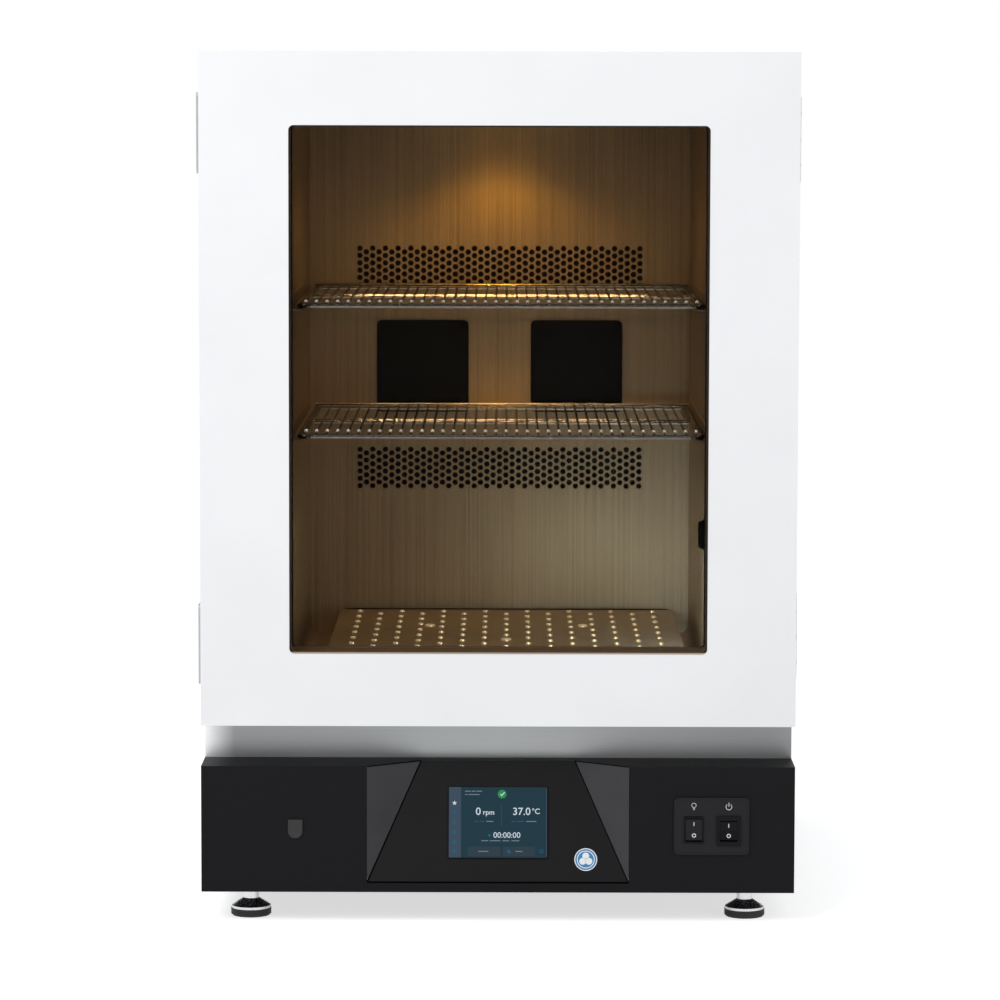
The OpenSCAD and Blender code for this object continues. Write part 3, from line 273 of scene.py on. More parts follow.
def strip(name, axis, rough, *stops):
    """Rim of the window: toned over its depth (Y), or paler along its lower edge (Z)."""
    n = Nodes(name)
    fine = n.noise(1500)
    c = n.add("ShaderNodeSeparateXYZ")
    n.link(n.coord(kind="Generated" if axis == "Y" else "Object"), c.inputs["Vector"])
    tone = c.outputs[axis]
    if axis == "Z":
        tone = n.span(tone, 0, 1, GLASS_LOW - 0.0001, GLASS_LOW + 0.0002)
    return n.done(n.bsdf(n.ramp(tone, *stops), n.span(fine, rough, rough + 0.1, 0.3, 0.7),
                         normal=n.bump(fine, 0.05), Specular_IOR_Level=0.1))


def mesh_cover():
    """Black fine mesh of the fan covers."""
    n = Nodes("fan_cover_mesh")
    v = n.add("ShaderNodeTexVoronoi")
    v.inputs["Scale"].default_value = 330
    v.inputs["Randomness"].default_value = 0.0
    n.link(n.coord((1, 0.02, 1)), v.inputs["Vector"])
    d = n.span(v.outputs["Distance"], 0, 1, 0.25, 0.5)
    col = n.ramp(d, (0.2, (0.0018, 0.0024, 0.0032)), (0.8, (0.0045, 0.0058, 0.0078)))
    return n.done(n.bsdf(col, 0.5, 0.0, n.bump(d, 0.3, 0.0004), Specular_IOR_Level=0.15))


def console_coat_painted_facet_light():
    """Dark textured coat; the two side facets are painted lighter by the sideways part of their
    normal, as painted light.
    """
    n = Nodes("console_texture_painted_facet_light")
    fine = n.noise(2600)
    wide = n.noise(14, detail=4)
    g = n.add("ShaderNodeNewGeometry")
    c = n.add("ShaderNodeSeparateXYZ")
    n.link(g.outputs["Normal"], c.inputs["Vector"])
    # painted light: faces turned sideways are lighter, as if lit from the sides
    side = n.add("ShaderNodeMath", operation="ABSOLUTE")
    n.link(c.outputs["X"], side.inputs[0])
    col = n.ramp(side.outputs[0], (0.2, (0.0045, 0.0041, 0.0050)), (0.5, (0.058, 0.056, 0.061)))
    mix = n.add("ShaderNodeMixRGB", blend_type="MULTIPLY")
    mix.inputs["Fac"].default_value = 1
    n.link(col, mix.inputs["Color1"])
    n.link(n.ramp(wide, (0.3, (0.82, 0.82, 0.82)), (0.7, (1, 1, 1))), mix.inputs["Color2"])
    return n.done(n.bsdf(mix.outputs["Color"], n.span(fine, 0.42, 0.52, 0.3, 0.7),
                         normal=n.bump(fine, 0.4), Specular_IOR_Level=0.12))


def chamber_metal_painted_shade(name, base, grain):
    """Satin sheet with vertical brushing; behind the perforated wall it is painted near-black as
    painted shade.
    """
    n = Nodes(name)
    fine = n.noise(1.0, n.coord((620, 620, 1.6)), detail=3, rough=0.6)
    broad = n.noise(1.0, n.coord((170, 170, 0.9)), detail=2)
    col = n.ramp(fine, (0.36, tint(base, 1 - grain)), (0.64, base))
    mix = n.add("ShaderNodeMixRGB", blend_type="MULTIPLY")
    mix.inputs["Fac"].default_value = 1
    n.link(col, mix.inputs["Color1"])
    n.link(n.ramp(broad, (0.3, (0.92, 0.915, 0.91)), (0.7, (1, 1, 1))), mix.inputs["Color2"])
    # painted shade: everything behind the front face of the perforated wall is near-black
    c = n.add("ShaderNodeSeparateXYZ")
    n.link(n.coord(), c.inputs["Vector"])
    painted_shade_behind_wall = n.add("ShaderNodeMath", operation="GREATER_THAN")
    n.link(c.outputs["Y"], painted_shade_behind_wall.inputs[0])
    painted_shade_behind_wall.inputs[1].default_value = WALL_Y
    dark = n.add("ShaderNodeMixRGB")
    n.link(painted_shade_behind_wall.outputs[0], dark.inputs["Fac"])
    n.link(mix.outputs["Color"], dark.inputs["Color1"])
    dark.inputs["Color2"].default_value = (0.004, 0.003, 0.003, 1)
    return n.done(n.bsdf(dark.outputs["Color"], n.span(fine, 0.28, 0.42, 0.3, 0.7), 0.6,
                         n.bump(fine, 0.03)))


SHELF_TOPS = (0.573, 0.729)
# painted shade bands of the shelves: middle above the shelf top, and half height
PAINTED_SHADE_BANDS = ((0.0003, 0.0008), (-0.0019, 0.0005))


def shelf_wire_painted_shade():
    """Wires and a thin line on the rods are painted dark as painted shade; frame and cross rods
    are polished.
    """
    n = Nodes("shelf_steel_painted_shade")
    fine = n.noise(1.0, n.coord((60, 900, 900)), detail=3)
    c = n.add("ShaderNodeSeparateXYZ")
    n.link(n.coord(), c.inputs["Vector"])
    g = n.add("ShaderNodeNewGeometry")
    d = n.add("ShaderNodeSeparateXYZ")
    n.link(g.outputs["True Normal"], d.inputs["Vector"])
    size = n.add("ShaderNodeMath", operation="ABSOLUTE")
    n.link(d.outputs["X"], size.inputs[0])
    painted_dark_mask = n.add("ShaderNodeMath", operation="GREATER_THAN")
    n.link(size.outputs[0], painted_dark_mask.inputs[0])
    painted_dark_mask.inputs[1].default_value = 0.3
    for top in SHELF_TOPS:
        for dz, half in PAINTED_SHADE_BANDS:
            near = n.add("ShaderNodeMath", operation="COMPARE")
            n.link(c.outputs["Z"], near.inputs[0])
            near.inputs[1].default_value = top + dz
            near.inputs[2].default_value = half
            most = n.add("ShaderNodeMath", operation="MAXIMUM")
            n.link(painted_dark_mask.outputs[0], most.inputs[0])
            n.link(near.outputs[0], most.inputs[1])
            painted_dark_mask = most
    # painted shade: sideways faces and the height bands take the dark colour
    mix = n.add("ShaderNodeMixRGB")
    n.link(painted_dark_mask.outputs[0], mix.inputs["Fac"])
    for socket, low, high in (("Color1", (0.84, 0.79, 0.68), (0.96, 0.92, 0.82)),
                              ("Color2", (0.05, 0.045, 0.04), (0.08, 0.07, 0.06))):
        n.link(n.ramp(fine, (0.3, low), (0.7, high)), mix.inputs[socket])
    return n.done(n.bsdf(mix.outputs["Color"], n.span(fine, 0.18, 0.3, 0.3, 0.7), 0.9,
                         n.bump(fine, 0.03)))


M["spacer"] = strip("spacer_strip", "Y", 0.5,
                    (0.1, (0.46, 0.32, 0.18)), (0.9, (0.34, 0.23, 0.125)))
M["seal"] = strip("glazing_seal", "Z", 0.6,
                  (0.0, (0.42, 0.33, 0.25)), (1.0, (0.030, 0.026, 0.022)))
M["wire"] = shelf_wire_painted_shade()
M["console"] = console_coat_painted_facet_light()
M["liner"] = chamber_metal_painted_shade("liner_stainless_painted_shade", (0.50, 0.385, 0.245), 0.15)
M["wall"] = chamber_metal_painted_shade("wall_stainless_painted_shade", (0.62, 0.465, 0.272), 0.28)
M["apron"] = apron_painted_reflection()
M["foot"] = foot_metal()
M["tinted"] = pane("tinted_glass", (0.003, 0.0026, 0.002), 0.34, 0.03)
M["clear"] = pane("clear_glass", (0.008, 0.007, 0.006), 0.06, 0.01)
M["mesh"] = mesh_cover()
M["lamp"] = glow("lamp_lens", (1.0, 0.72, 0.36), 0.7)
M["scr_bg"] = glow("screen_ground", (0.010, 0.036, 0.053), 1.0)
M["scr_bar"] = glow("screen_bar", (0.040, 0.066, 0.098), 1.0)
M["scr_btn"] = glow("screen_button", (0.024, 0.043, 0.060), 1.0)
M["scr_text"] = glow("screen_text", (0.56, 0.64, 0.70), 1.0)
M["scr_dim"] = glow("screen_dim_text", (0.17, 0.22, 0.26), 1.0)
M["scr_blue"] = glow("screen_blue", (0.016, 0.095, 0.165), 1.0)
M["scr_green"] = glow("screen_green", (0.02, 0.24, 0.07), 1.0)

LOOK = {
    "white": ["door_skin", "side_panels", "roof_panel", "rear_cover"],
    "black": ["base_tray", "base_housing", "base_front_panel"],
    "console": ["console_plate"],
    "plate": ["switch_plate"],
    "gloss_black": ["touch_screen", "switch_housings", "power_rocker"],
    "dark_grey": ["light_rocker"],
    "rubber": ["port_cover", "drive_belt"],
    "seal": ["door_seals"],
    "liner": ["chamber_liner", "shelf_rails", "port_sleeve"],
    "wall": ["plenum_panel"],
    "wire": ["shelf_lower", "shelf_upper"],
    "platform": ["platform"],
    "hinge": ["cabinet_hinges", "door_hinge_leaves", "hinge_blank_plates"],
    "steel": ["drive_shaft", "idler_left", "idler_right", "drive_bearings",
              "carriage_bearings", "temperature_probe", "platform_screws"],
    "dark_steel": ["hinge_screws", "cabinet_screws"],
    "cast": ["drive_frame", "carriage", "drive_pulley", "motor_pulley", "power_supply"],
    "heater": ["heater_coil"],
    "motor": ["drive_motor"],
    "board": ["control_board"],
    "foam": ["foam_insulation"],
    "moulding": ["door_inner_panel"],
    "apron": ["front_frame"],
    "foot": ["foot_front_left", "foot_front_right", "foot_rear_left", "foot_rear_right"],
    "fan": ["fan_housings", "fan_rotor_left", "fan_rotor_right", "power_inlet", "fan_guards"],
    "seam": ["port_stopper"],
    "tinted": ["outer_glass"],
    "clear": ["inner_glass"],
    "spacer": ["glass_spacer"],
    "lamp": ["chamber_lamp"],
}
for look, nodes in LOOK.items():
    for node in nodes:
        for s in bpy.data.objects[node].material_slots:
            s.material = M[look]


# ---------- mesh helpers ----------
def piece(name, bm, look, body, bevel=0.0):
    me = bpy.data.meshes.new(name)
    bmesh.ops.recalc_face_normals(bm, faces=bm.faces)
    bm.to_mesh(me)
    bm.free()
    o = bpy.data.objects.new(name, me)
    bpy.context.scene.collection.objects.link(o)
    me.materials.append(M[look])
    if bevel:
        b = o.modifiers.new("edge", "BEVEL")
        b.width = bevel
        b.segments = 2
        b.limit_method = "ANGLE"
    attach(o, body)
    return o


def prism(bm, pts, place, t):
    """Closed plate over a 2D outline (mm), placed by a matrix, t mm thick along its z."""
    low = [bm.verts.new(place @ Vector((x * MM, y * MM, 0))) for x, y in pts]
    top = [bm.verts.new(place @ Vector((x * MM, y * MM, t * MM))) for x, y in pts]
    bm.faces.new(low[::-1])
    bm.faces.new(top)
    for i in range(len(pts)):
        j = (i + 1) % len(pts)
        bm.faces.new((low[i], low[j], top[j], top[i]))


def rect(x0, y0, x1, y1):
    return [(x0, y0), (x1, y0), (x1, y1), (x0, y1)]


def round_rect(x0, y0, x1, y1, r, n=5):
    pts = []
    for cx, cy, a in ((x1 - r, y0 + r, -90), (x1 - r, y1 - r, 0), (x0 + r, y1 - r, 90),
                      (x0 + r, y0 + r, 180)):
        for k in range(n + 1):
            t = math.radians(a + 90 * k / n)
            pts.append((cx + r * math.cos(t), cy + r * math.sin(t)))
    return pts


def disc(cx, cy, r, n=32):
    return [(cx + r * math.cos(2 * math.pi * k / n), cy + r * math.sin(2 * math.pi * k / n))
            for k in range(n)]


def ring(bm, cx, cy, r1, r2, place, t, a0=0.0, a1=360.0, n=40):
    """Flat ring or arc between two radii."""
    full = a1 - a0 >= 360
    rows = []
    for k in range(n if full else n + 1):
        a = math.radians(a0 + (a1 - a0) * k / n)
        c, s = math.cos(a), math.sin(a)
        rows.append([bm.verts.new(place @ Vector(((cx + r * c) * MM, (cy + r * s) * MM, z * MM)))
                     for r, z in ((r1, 0), (r2, 0), (r2, t), (r1, t))])
    m = len(rows)
    for k in range(m if full else m - 1):
        a, b = rows[k], rows[(k + 1) % m]
        for i in range(4):
            j = (i + 1) % 4
            bm.faces.new((a[i], a[j], b[j], b[i]))
    if not full:
        bm.faces.new(rows[0])
        bm.faces.new(rows[-1][::-1])


def front(x, y, z):
    """Plane that faces the user, with its x to the right and its y up."""
    return Matrix.Translation(Vector((x, y, z)) * MM) @ Matrix.Rotation(math.radians(90), 4, "X")


# ---------- screen ----------
FRONT_Y = -400
CON_LOW, CON_TOP = 51, 189
con_d, con_rise = 47.0, 138.0
con_a = math.atan(con_d / con_rise)
con_len = con_rise / math.cos(con_a)
scr_y = FRONT_Y + con_d - (con_len / 2 + 1.5) * math.sin(con_a)
scr_z = CON_TOP - (con_len / 2 + 1.5) * math.cos(con_a)
SCR = (Matrix.Translation(Vector((0, scr_y, scr_z)) * MM)
       @ Matrix.Rotation(math.radians(90) - con_a, 4, "X"))
TOP = 1.42
# millimetres of the screen per pixel of the photo, across and up
PX, PY = 119 / 100.6, 86.6 / 72.4


def on_screen(z):
    return SCR @ Matrix.Translation((0, 0, (TOP + z) * MM))


def sx(u):
    """Screen millimetres to the right of the middle for a column of the photo."""
    return (u - 498.5) * PX


def sy(v):
    """Screen millimetres above the middle for a row of the photo."""
    return (822.2 - v) * PY


def scr_rect(bm, u0, v0, u1, v1, r=0.6, z=0.1, t=0.08):
    prism(bm, round_rect(sx(u0), sy(v1), sx(u1), sy(v0), r, 3), on_screen(z), t)


def words(name, text, u, v, size, look, place, body, z=0.18, t=0.05, bold=0.0):
    c = bpy.data.curves.new(name, "FONT")
    c.body = text
    c.size = size * MM
    c.align_x = "CENTER"
    c.align_y = "CENTER"
    c.extrude = t * MM / 2
    c.offset = bold * MM
    o = bpy.data.objects.new(name, c)
    bpy.context.scene.collection.objects.link(o)
    dg = bpy.context.evaluated_depsgraph_get()
    me = bpy.data.meshes.new_from_object(o.evaluated_get(dg))
    bpy.data.objects.remove(o)
    o = bpy.data.objects.new(name, me)
    bpy.context.scene.collection.objects.link(o)
    me.transform(place @ Matrix.Translation((u * MM, v * MM, z * MM)))
    me.materials.clear()
    me.materials.append(M[look])
    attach(o, body)
    return o


bm = bmesh.new()
scr_rect(bm, 449.4, 787, 547.6, 857.4, 0.8, 0.0, 0.06)
piece("screen_ground", bm, "scr_bg", "cabinet")
bm = bmesh.new()
scr_rect(bm, 449.4, 787, 461.5, 857.4, 0.5)
scr_rect(bm, 501.6, 803, 502.1, 826, 0.2)
scr_rect(bm, 546.7, 788.5, 547.5, 856, 0.2)
piece("screen_bars", bm, "scr_bar", "cabinet")
bm = bmesh.new()
scr_rect(bm, 468.5, 846.5, 501, 856, 0.8)
scr_rect(bm, 503.5, 846.5, 535.5, 856, 0.8)
piece("screen_buttons", bm, "scr_btn", "cabinet")
bm = bmesh.new()
for v in (812, 822, 832, 842, 851):
    prism(bm, disc(sx(455), sy(v), 2.4, 20), on_screen(0.2), 0.06)
    prism(bm, rect(sx(453), sy(v) - 0.5, sx(457), sy(v) + 0.5), on_screen(0.27), 0.03)
prism(bm, disc(sx(509.5), sy(851.3), 2.0, 20), on_screen(0.2), 0.06)
ring(bm, sx(542), sy(851.2), 1.6, 2.4, on_screen(0.2), 0.06)
for u0, u1, v in ((475, 479, 821.3), (480.5, 485, 821.3), (512, 516, 821.3), (517.5, 525, 821.3)):
    scr_rect(bm, u0, v - 0.4, u1, v + 0.4, 0.2, 0.2)
prism(bm, disc(sx(490), sy(835.2), 1.6, 18), on_screen(0.2), 0.06)
piece("screen_icons", bm, "scr_blue", "cabinet")
bm = bmesh.new()
prism(bm, disc(sx(502.6), sy(794), 5.2, 28), on_screen(0.2), 0.06)
piece("screen_state", bm, "scr_green", "cabinet")
bm = bmesh.new()
prism(bm, [(sx(500.6), sy(794.2)), (sx(501.2), sy(793.4)), (sx(502.2), sy(794.6)),
           (sx(504.8), sy(791.8)), (sx(505.5), sy(792.5)), (sx(502.2), sy(796.2))],
      on_screen(0.28), 0.05)
star = [(sx(455) + r * math.sin(math.pi * k / 5), sy(803) + r * math.cos(math.pi * k / 5))
        for k, r in enumerate([3.0, 1.3] * 5)]
prism(bm, star, on_screen(0.2), 0.06)
piece("screen_marks", bm, "scr_text", "cabinet")
bm = bmesh.new()
for u0, u1, v in ((465.5, 471, 791.1), (472, 476, 791.1), (477, 482.5, 791.1), (465.5, 468, 794.4),
                  (469, 480, 794.4), (479, 489, 851.2), (516, 523, 851.2), (487, 494, 821.3),
                  (527, 537, 821.3), (482, 489, 840.6), (490.5, 501, 840.6), (503, 510, 840.6),
                  (512, 520, 840.6)):
    scr_rect(bm, u0, v - 0.4, u1, v + 0.4, 0.2, 0.2, 0.05)
piece("screen_small_words", bm, "scr_dim", "cabinet")
for name, text, u, v, size, bold in (
        ("speed", "0", 478.8, 811.6, 12.5, 0.1), ("speed_unit", "rpm", 489.2, 812.4, 8.4, 0.1),
        ("heat", "37.0", 522.2, 811.6, 12.5, 0.1), ("heat_unit", "°C", 536.5, 811.4, 9.0, 0.1),
        ("clock", "00:00:00", 507.5, 835.2, 9.4, 0.05)):
    words("screen_" + name, text, sx(u), sy(v), size, "scr_text", on_screen(0), "cabinet",
          bold=bold)

# ---------- switch marks ----------
LIGHT_X, POWER_X = 231, 272
P = front(0, FRONT_Y - 2.2 - 0.08, 0)
bm = bmesh.new()
# lamp symbol
ring(bm, LIGHT_X, 144.0, 2.3, 2.9, P, 0.12, -55, 235, 28)
for dz in (0, 1.3, 2.6):
    half, mid = 1.4 - dz * 0.15, 141.6 - dz
    prism(bm, rect(LIGHT_X - half, mid - 0.35, LIGHT_X + half, mid + 0.3), P, 0.12)
# power symbol
ring(bm, 272.2, 142.2, 3.1, 3.8, P, 0.12, 125, 415, 32)
prism(bm, rect(271.8, 142.4, 272.6, 147.2), P, 0.12)
piece("switch_symbols", bm, "mark", "cabinet")


def rocker_place(x, z, a):
    """Face of a rocker at rest, at the height a (mm) from its pivot line."""
    tilt = math.radians(8)
    base = Matrix.Translation(Vector((x, FRONT_Y, z)) * MM) @ Matrix.Rotation(-tilt, 4, "X")
    lean = math.atan(math.tan(tilt) + 0.6 / 13)
    off = 5 + abs(a) * math.tan(lean) + 0.05
    return (base @ Matrix.Translation(Vector((0, -off, a)) * MM)
            @ Matrix.Rotation(math.radians(90) + (lean if a > 0 else -lean), 4, "X"))


for body, x, z, h in (("light_switch", LIGHT_X, 114.7, 13.5),
                      ("power_switch", POWER_X, 113.5, 12)):
    bm = bmesh.new()
    prism(bm, rect(-0.5, -2.3, 0.5, 2.3), rocker_place(x, z, h * 0.5), 0.12)
    ring(bm, 0, 0, 1.5, 2.5, rocker_place(x, z, -h * 0.5), 0.12, n=28)
    piece(body + "_marks", bm, "mark", body)

# ---------- threaded inserts of the platform lattice ----------
PLAT_X, PLAT_Y, PLAT_TOP = 9.5, -25.6, 303.9
LATTICE = 27.2
INSERT = ((3.5, 0), (3.2, 2.1), (2.3, 2.1), (2.0, 0))
bm = bmesh.new()
for i in range(-7, 8):
    for j in range(-7, 8):
        if (i + j) % 2:
            continue
        cx, cy = PLAT_X + i * LATTICE, PLAT_Y + j * LATTICE
        rows = []
        for k in range(16):
            a = 2 * math.pi * k / 16
            rows.append([bm.verts.new(Vector((cx + r * math.cos(a), cy + r * math.sin(a),
                                              PLAT_TOP + h)) * MM) for r, h in INSERT])
        for k in range(16):
            a, b = rows[k], rows[(k + 1) % 16]
            for m in range(4):
                bm.faces.new((a[m], b[m], b[(m + 1) % 4], a[(m + 1) % 4]))
# the inserts glow a little: painted highlights
piece("platform_inserts", bm, "glint", "carriage")


def turned(bm, cx, cy, z, profile, n):
    """Closed turned body over a list of radii and heights (mm)."""
    rows = [[bm.verts.new(Vector((cx + r * math.cos(2 * math.pi * k / n),
                                  cy + r * math.sin(2 * math.pi * k / n), z + h)) * MM)
             for k in range(n)] for r, h in profile]
    for a, b in zip(rows, rows[1:]):
        for k in range(n):
            m = (k + 1) % n
            bm.faces.new((a[k], a[m], b[m], b[k]))
    bm.faces.new(rows[0][::-1])
    bm.faces.new(rows[-1])


# ---------- weld beads on the shelf wires, behind the front rod ----------
WIRE_N, WIRE_P = 38, (487.4 - 18) / 37
WIRE_MID, BEAD_Y = 2.5, -250
BEAD = ((1.2, -1.6), (1.9, -0.6), (2.0, 0.6), (1.7, 1.7), (0.8, 2.4))
for name, top in zip(("shelf_lower", "shelf_upper"), SHELF_TOPS):
    bm = bmesh.new()
    for i in range(WIRE_N):
        turned(bm, WIRE_MID + (i - (WIRE_N - 1) / 2) * WIRE_P, BEAD_Y, top / MM, BEAD, 10)
    # the beads glow a little: painted highlights
    piece(name + "_beads", bm, "bead", name)

# ---------- polished caps on the three platform screws ----------
SCREW_CAP = ((6.4, 0), (6.1, 2.0), (5.4, 2.4), (2.5, 2.6))
bm = bmesh.new()
for x, y in ((-97, 41), (97, 41), (0, -98)):
    turned(bm, PLAT_X + x, PLAT_Y + y, PLAT_TOP + 0.05, SCREW_CAP, 24)
# the caps glow a little: painted highlights
piece("platform_screw_caps", bm, "glint", "carriage")

# ---------- painted shadow line along the back edge of the platform ----
box = bpy.data.objects["platform"].bound_box
x0, x1 = min(v[0] for v in box) / MM + 6, max(v[0] for v in box) / MM - 6
bm = bmesh.new()
prism(bm, rect(x0, PLAT_TOP + 0.15, x1, PLAT_TOP + 1.4),
      front(0, max(v[1] for v in box) / MM - 0.3, 0), 0.8)
piece("platform_back_painted_shadow", bm, "seam", "carriage")

# ---------- fine mesh behind the bars of the fan covers ----------
FAN_X, FAN_Z, FAN_PITCH = 100.5, 623, 105
for name, x in (("left", -FAN_X), ("right", FAN_X)):
    bm = bmesh.new()
    prism(bm, disc(0, 0, 53.5, 64), front(x, 208.2, FAN_Z), 0.5)
    ring(bm, 0, 0, 21, 22.5, front(x + 8, 207.6, 619), 0.3, n=48)
    piece("fan_mesh_" + name, bm, "mesh", "cabinet")

# ---------- screw heads of the fan covers ----------
bm = bmesh.new()
half = FAN_PITCH / 2
for x in (-FAN_X - half, -FAN_X + half, FAN_X - half, FAN_X + half):
    for z in (FAN_Z - half, FAN_Z + half):
        prism(bm, disc(x, z, 3.3, 20), front(0, 206.3, 0), 1.5)
        prism(bm, disc(x, z, 2.5, 20), front(0, 204.9, 0), 0.5)
piece("fan_cover_screws", bm, "seam", "cabinet")

# ---------- painted shadow along the fold lines of the console ---
bm = bmesh.new()
for a, b, half in (
        ((-91.4, 46.8, 189.0), (-154.2, -0.2, 51.2), 0.8),
        ((91.4, 46.8, 189.0), (154.2, -0.2, 51.2), 0.6),
        ((-154.2, -0.3, 51.0), (154.2, -0.3, 51.0), 0.9),
        ((-91.6, 46.8, 188.8), (-154.0, 0.4, 188.8), 0.7),
        ((91.6, 46.8, 188.8), (154.0, 0.4, 188.8), 0.6)):
    a, b = Vector(a) + Vector((0, FRONT_Y, 0)), Vector(b) + Vector((0, FRONT_Y, 0))
    d = (b - a).normalized()
    w = Vector((d.z, 0, -d.x)).normalized() * half
    lift = Vector((0, -0.25, 0.05))
    pts = [a - w, a + w, b + w, b - w]
    low = [bm.verts.new(q * MM) for q in pts]
    top = [bm.verts.new((q + lift) * MM) for q in pts]
    bm.faces.new(low)
    bm.faces.new(top[::-1])
    for i in range(4):
        j = (i + 1) % 4
        bm.faces.new((low[i], low[j], top[j], top[i]))
piece("console_fold_painted_shadows", bm, "seam", "cabinet")

# ---------- round motif on the console ----------
bm = bmesh.new()
z_m = 77.0
y_m = FRONT_Y + con_d * (z_m - CON_LOW) / con_rise - 0.1
MOTIF = (Matrix.Translation(Vector((104, y_m, z_m)) * MM)
         @ Matrix.Rotation(math.radians(90) - con_a, 4, "X"))
prism(bm, disc(0, 0, 13.5, 48), MOTIF, 0.25)
piece("motif_ground", bm, "motif_white", "cabinet")
bm = bmesh.new()
field = MOTIF @ Matrix.Translation((0, 0, 0.26 * MM))
ring(bm, 0, 0, 10.6, 12.4, field, 0.05, n=48)
prism(bm, disc(0, 0, 9.6, 40), field, 0.05)
piece("motif_field", bm, "motif_blue", "cabinet")
bm = bmesh.new()
up = MOTIF @ Matrix.Translation((0, 0, 0.32 * MM))
for k in range(3):
    t = math.radians(90 + 120 * k)
    prism(bm, disc(4.2 * math.cos(t), 4.2 * math.sin(t), 4.1, 28), up, 0.05)
piece("motif_shapes", bm, "motif_white", "cabinet")

# ---------- stage, light and camera ----------
scene = bpy.context.scene
scene.view_settings.view_transform = "Standard"


def lamp(name, kind, loc, power, color=(1, 1, 1), size=1.0, size_y=None, target=None, seen=True):
    d = bpy.data.lights.new(name, kind)
    d.energy = power
    d.color = color
    if kind == "AREA":
        d.shape = "RECTANGLE"
        d.size = size
        d.size_y = size_y or size
    else:
        d.shadow_soft_size = size
    o = bpy.data.objects.new(name, d)
    scene.collection.objects.link(o)
    o.location = loc
    if target is not None:
        o.rotation_euler = (Vector(target) - Vector(loc)).to_track_quat("-Z", "Y").to_euler()
    if not seen:
        o.visible_camera = False
        o.visible_glossy = False
    return o


FLOOR_LIFT = 0.66


def make_floor():
    bm = bmesh.new()
    s = 12.0
    for a, b in ((-s, -s), (s, -s), (s, s), (-s, s)):
        bm.verts.new((a, b, 0))
    bm.faces.new(bm.verts[:])
    me = bpy.data.meshes.new("floor")
    bm.to_mesh(me)
    bm.free()
    o = bpy.data.objects.new("floor", me)
    scene.collection.objects.link(o)
    n = Nodes("floor_white")
    path = n.add("ShaderNodeLightPath")
    seen = path.outputs["Is Camera Ray"]
    for other in ("Is Glossy Ray", "Is Transmission Ray"):
        m = n.add("ShaderNodeMath", operation="MAXIMUM")
        n.link(seen, m.inputs[0])
        n.link(path.outputs[other], m.inputs[1])
        seen = m.outputs[0]
    lift = n.add("ShaderNodeMath", operation="MULTIPLY")
    n.link(seen, lift.inputs[0])
    lift.inputs[1].default_value = FLOOR_LIFT
    p = n.add("ShaderNodeBsdfPrincipled")
    p.inputs["Base Color"].default_value = (0.85, 0.85, 0.85, 1)
    p.inputs["Roughness"].default_value = 0.95
    p.inputs["Specular IOR Level"].default_value = 0.0
    p.inputs["Emission Color"].default_value = (1, 1, 1, 1)
    n.link(lift.outputs[0], p.inputs["Emission Strength"])
    n.done(p.outputs["BSDF"])
    me.materials.append(n.m)
    return o


make_floor()

world = bpy.data.worlds.new("studio")
scene.world = world
world.use_nodes = True
wt = world.node_tree
wt.nodes.clear()
wo = wt.nodes.new("ShaderNodeOutputWorld")
bg = wt.nodes.new("ShaderNodeBackground")
bg2 = wt.nodes.new("ShaderNodeBackground")
mix = wt.nodes.new("ShaderNodeMixShader")
lp = wt.nodes.new("ShaderNodeLightPath")
bg.inputs["Color"].default_value = (0.95, 0.97, 1.0, 1)
bg.inputs["Strength"].default_value = 0.46
bg2.inputs["Color"].default_value = (1, 1, 1, 1)
bg2.inputs["Strength"].default_value = 1.0
seen = lp.outputs["Is Camera Ray"]
for other in ("Is Glossy Ray", "Is Transmission Ray"):
    mx = wt.nodes.new("ShaderNodeMath")
    mx.operation = "MAXIMUM"
    wt.links.new(seen, mx.inputs[0])
    wt.links.new(lp.outputs[other], mx.inputs[1])
    seen = mx.outputs[0]
wt.links.new(seen, mix.inputs["Fac"])
wt.links.new(bg.outputs[0], mix.inputs[1])
wt.links.new(bg2.outputs[0], mix.inputs[2])
wt.links.new(mix.outputs[0], wo.inputs["Surface"])


def spot(name, loc, power, color, target, angle, blend, seen=True):
    """Soft spot of the chamber with its full angle in degrees."""
    o = lamp(name, "SPOT", loc, power, color, 0.02, target=target, seen=seen)
    o.data.spot_size = math.radians(angle)
    o.data.spot_blend = blend
    return o


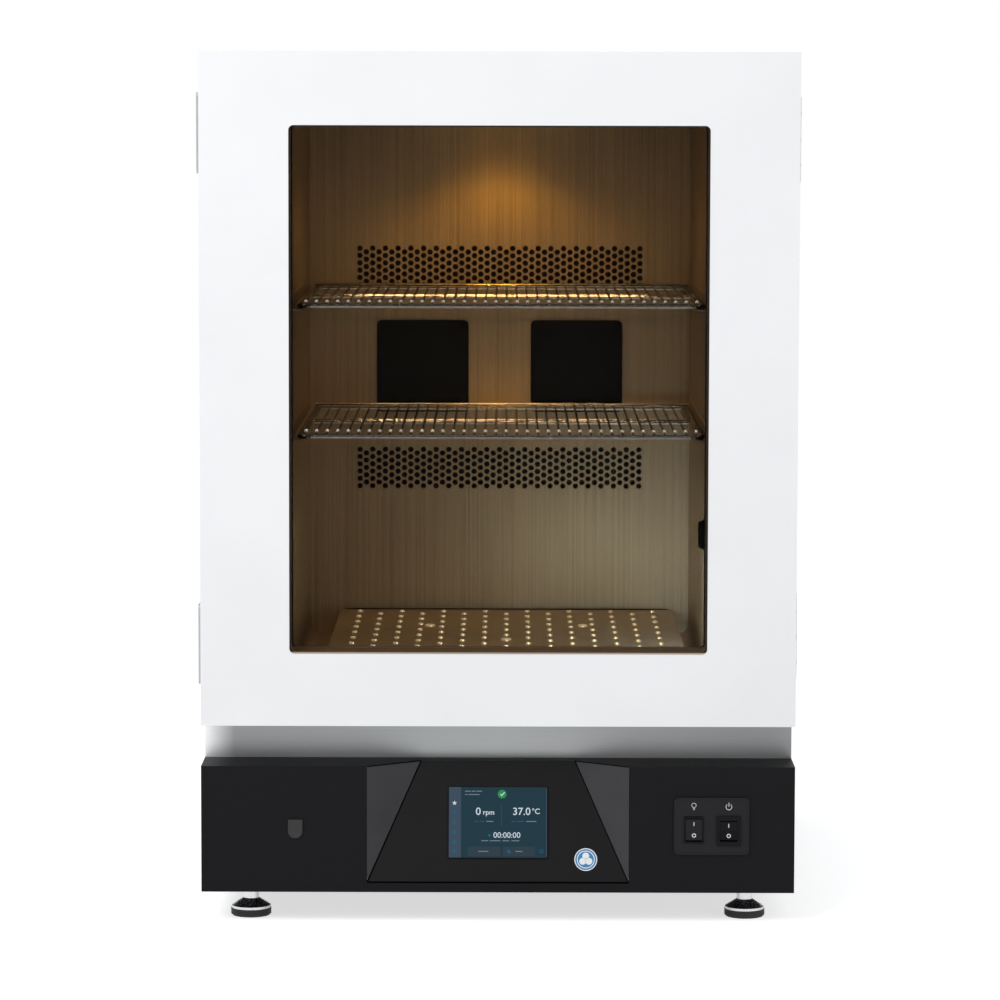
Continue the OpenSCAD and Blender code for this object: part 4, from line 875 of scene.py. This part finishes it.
# the room, then the chamber lamp and what it throws on the rear wall and its sides
lamp("key", "AREA", (-1.9, -2.9, 2.7), 78, size=2.2, size_y=1.6, target=(0, 0, 0.5))
lamp("fill", "AREA", (2.4, -2.8, 1.6), 18, size=1.8, size_y=1.8, target=(0, 0, 0.5))
AMBER = (1.0, 0.50, 0.05)
ROOF_LAMP = (0, -0.02, 0.925)
over = lamp("chamber_glow", "AREA", (0, -0.06, 0.955), 0.66, (1.0, 0.62, 0.27), 0.36, 0.04,
            target=(0, -0.04, 0.3))
over.data.spread = math.radians(95)
spot("chamber_wash", ROOF_LAMP, 1.5, AMBER, (0, WALL_Y, 0.615), 88, 0.55)
spot("chamber_side_wash", ROOF_LAMP, 0.6, AMBER, (0, WALL_Y, 0.33), 118, 0.5)
spot("chamber_spot", (0, -0.14, 0.848), 0.20, AMBER, (0, 0.21, 0.846), 40, 1.0)
corner = spot("chamber_corner", (0.10, -0.12, 0.40), 0.6, (0.80, 1.0, 1.1),
              (0.246, 0.205, 0.318), 30, 1.0, seen=False)
corner.visible_glossy = True
belt = lamp("chamber_wide_wash", "AREA", (0, -0.20, 0.785), 0.10, AMBER, 0.44, 0.05,
            target=(0, WALL_Y, 0.79))
belt.visible_camera = False
lamp("chamber_between_fans", "AREA", (0, 0.155, 0.592), 0.026, (1.0, 0.56, 0.16), 0.06, 0.02,
     target=(0, 0.21, 0.590), seen=False)
# light of the room through the window: warm at the left, cool at the lower right
WINDOW_Y = -0.31
for name, x, z, power, color, w, h in (
        ("warm_left", -0.10, 0.42, 0.14, (1.0, 0.66, 0.38), 0.26, 0.2),
        ("room_right", 0.222, 0.365, 0.46, (0.74, 1.0, 1.30), 0.05, 0.16),
        ("band", 0.12, 0.340, 0.18, (0.84, 1.0, 0.98), 0.26, 0.03)):
    o = lamp("chamber_" + name, "AREA", (x, WINDOW_Y, z), power, color, w, h,
             target=(x, 0.21, z - 0.02), seen=False)
    o.visible_glossy = name == "band"
    if name == "room_right":
        o.data.spread = math.radians(105)

cam = bpy.data.cameras.new("photo_view")
cam.lens = 154.94
cam.sensor_width = 36
cam.sensor_fit = "HORIZONTAL"
cam.clip_end = 60
co = bpy.data.objects.new("photo_view", cam)
scene.collection.objects.link(co)
pitch, yaw, roll = math.radians(5.442), math.radians(-0.0765), math.radians(0.1335)
co.matrix_world = (Matrix.Translation((0.00831, -5.41674, 0.98257))
                   @ Matrix.Rotation(-yaw, 4, "Z")
                   @ Matrix.Rotation(math.radians(90) - pitch, 4, "X")
                   @ Matrix.Rotation(roll, 4, "Z"))
scene.camera = co
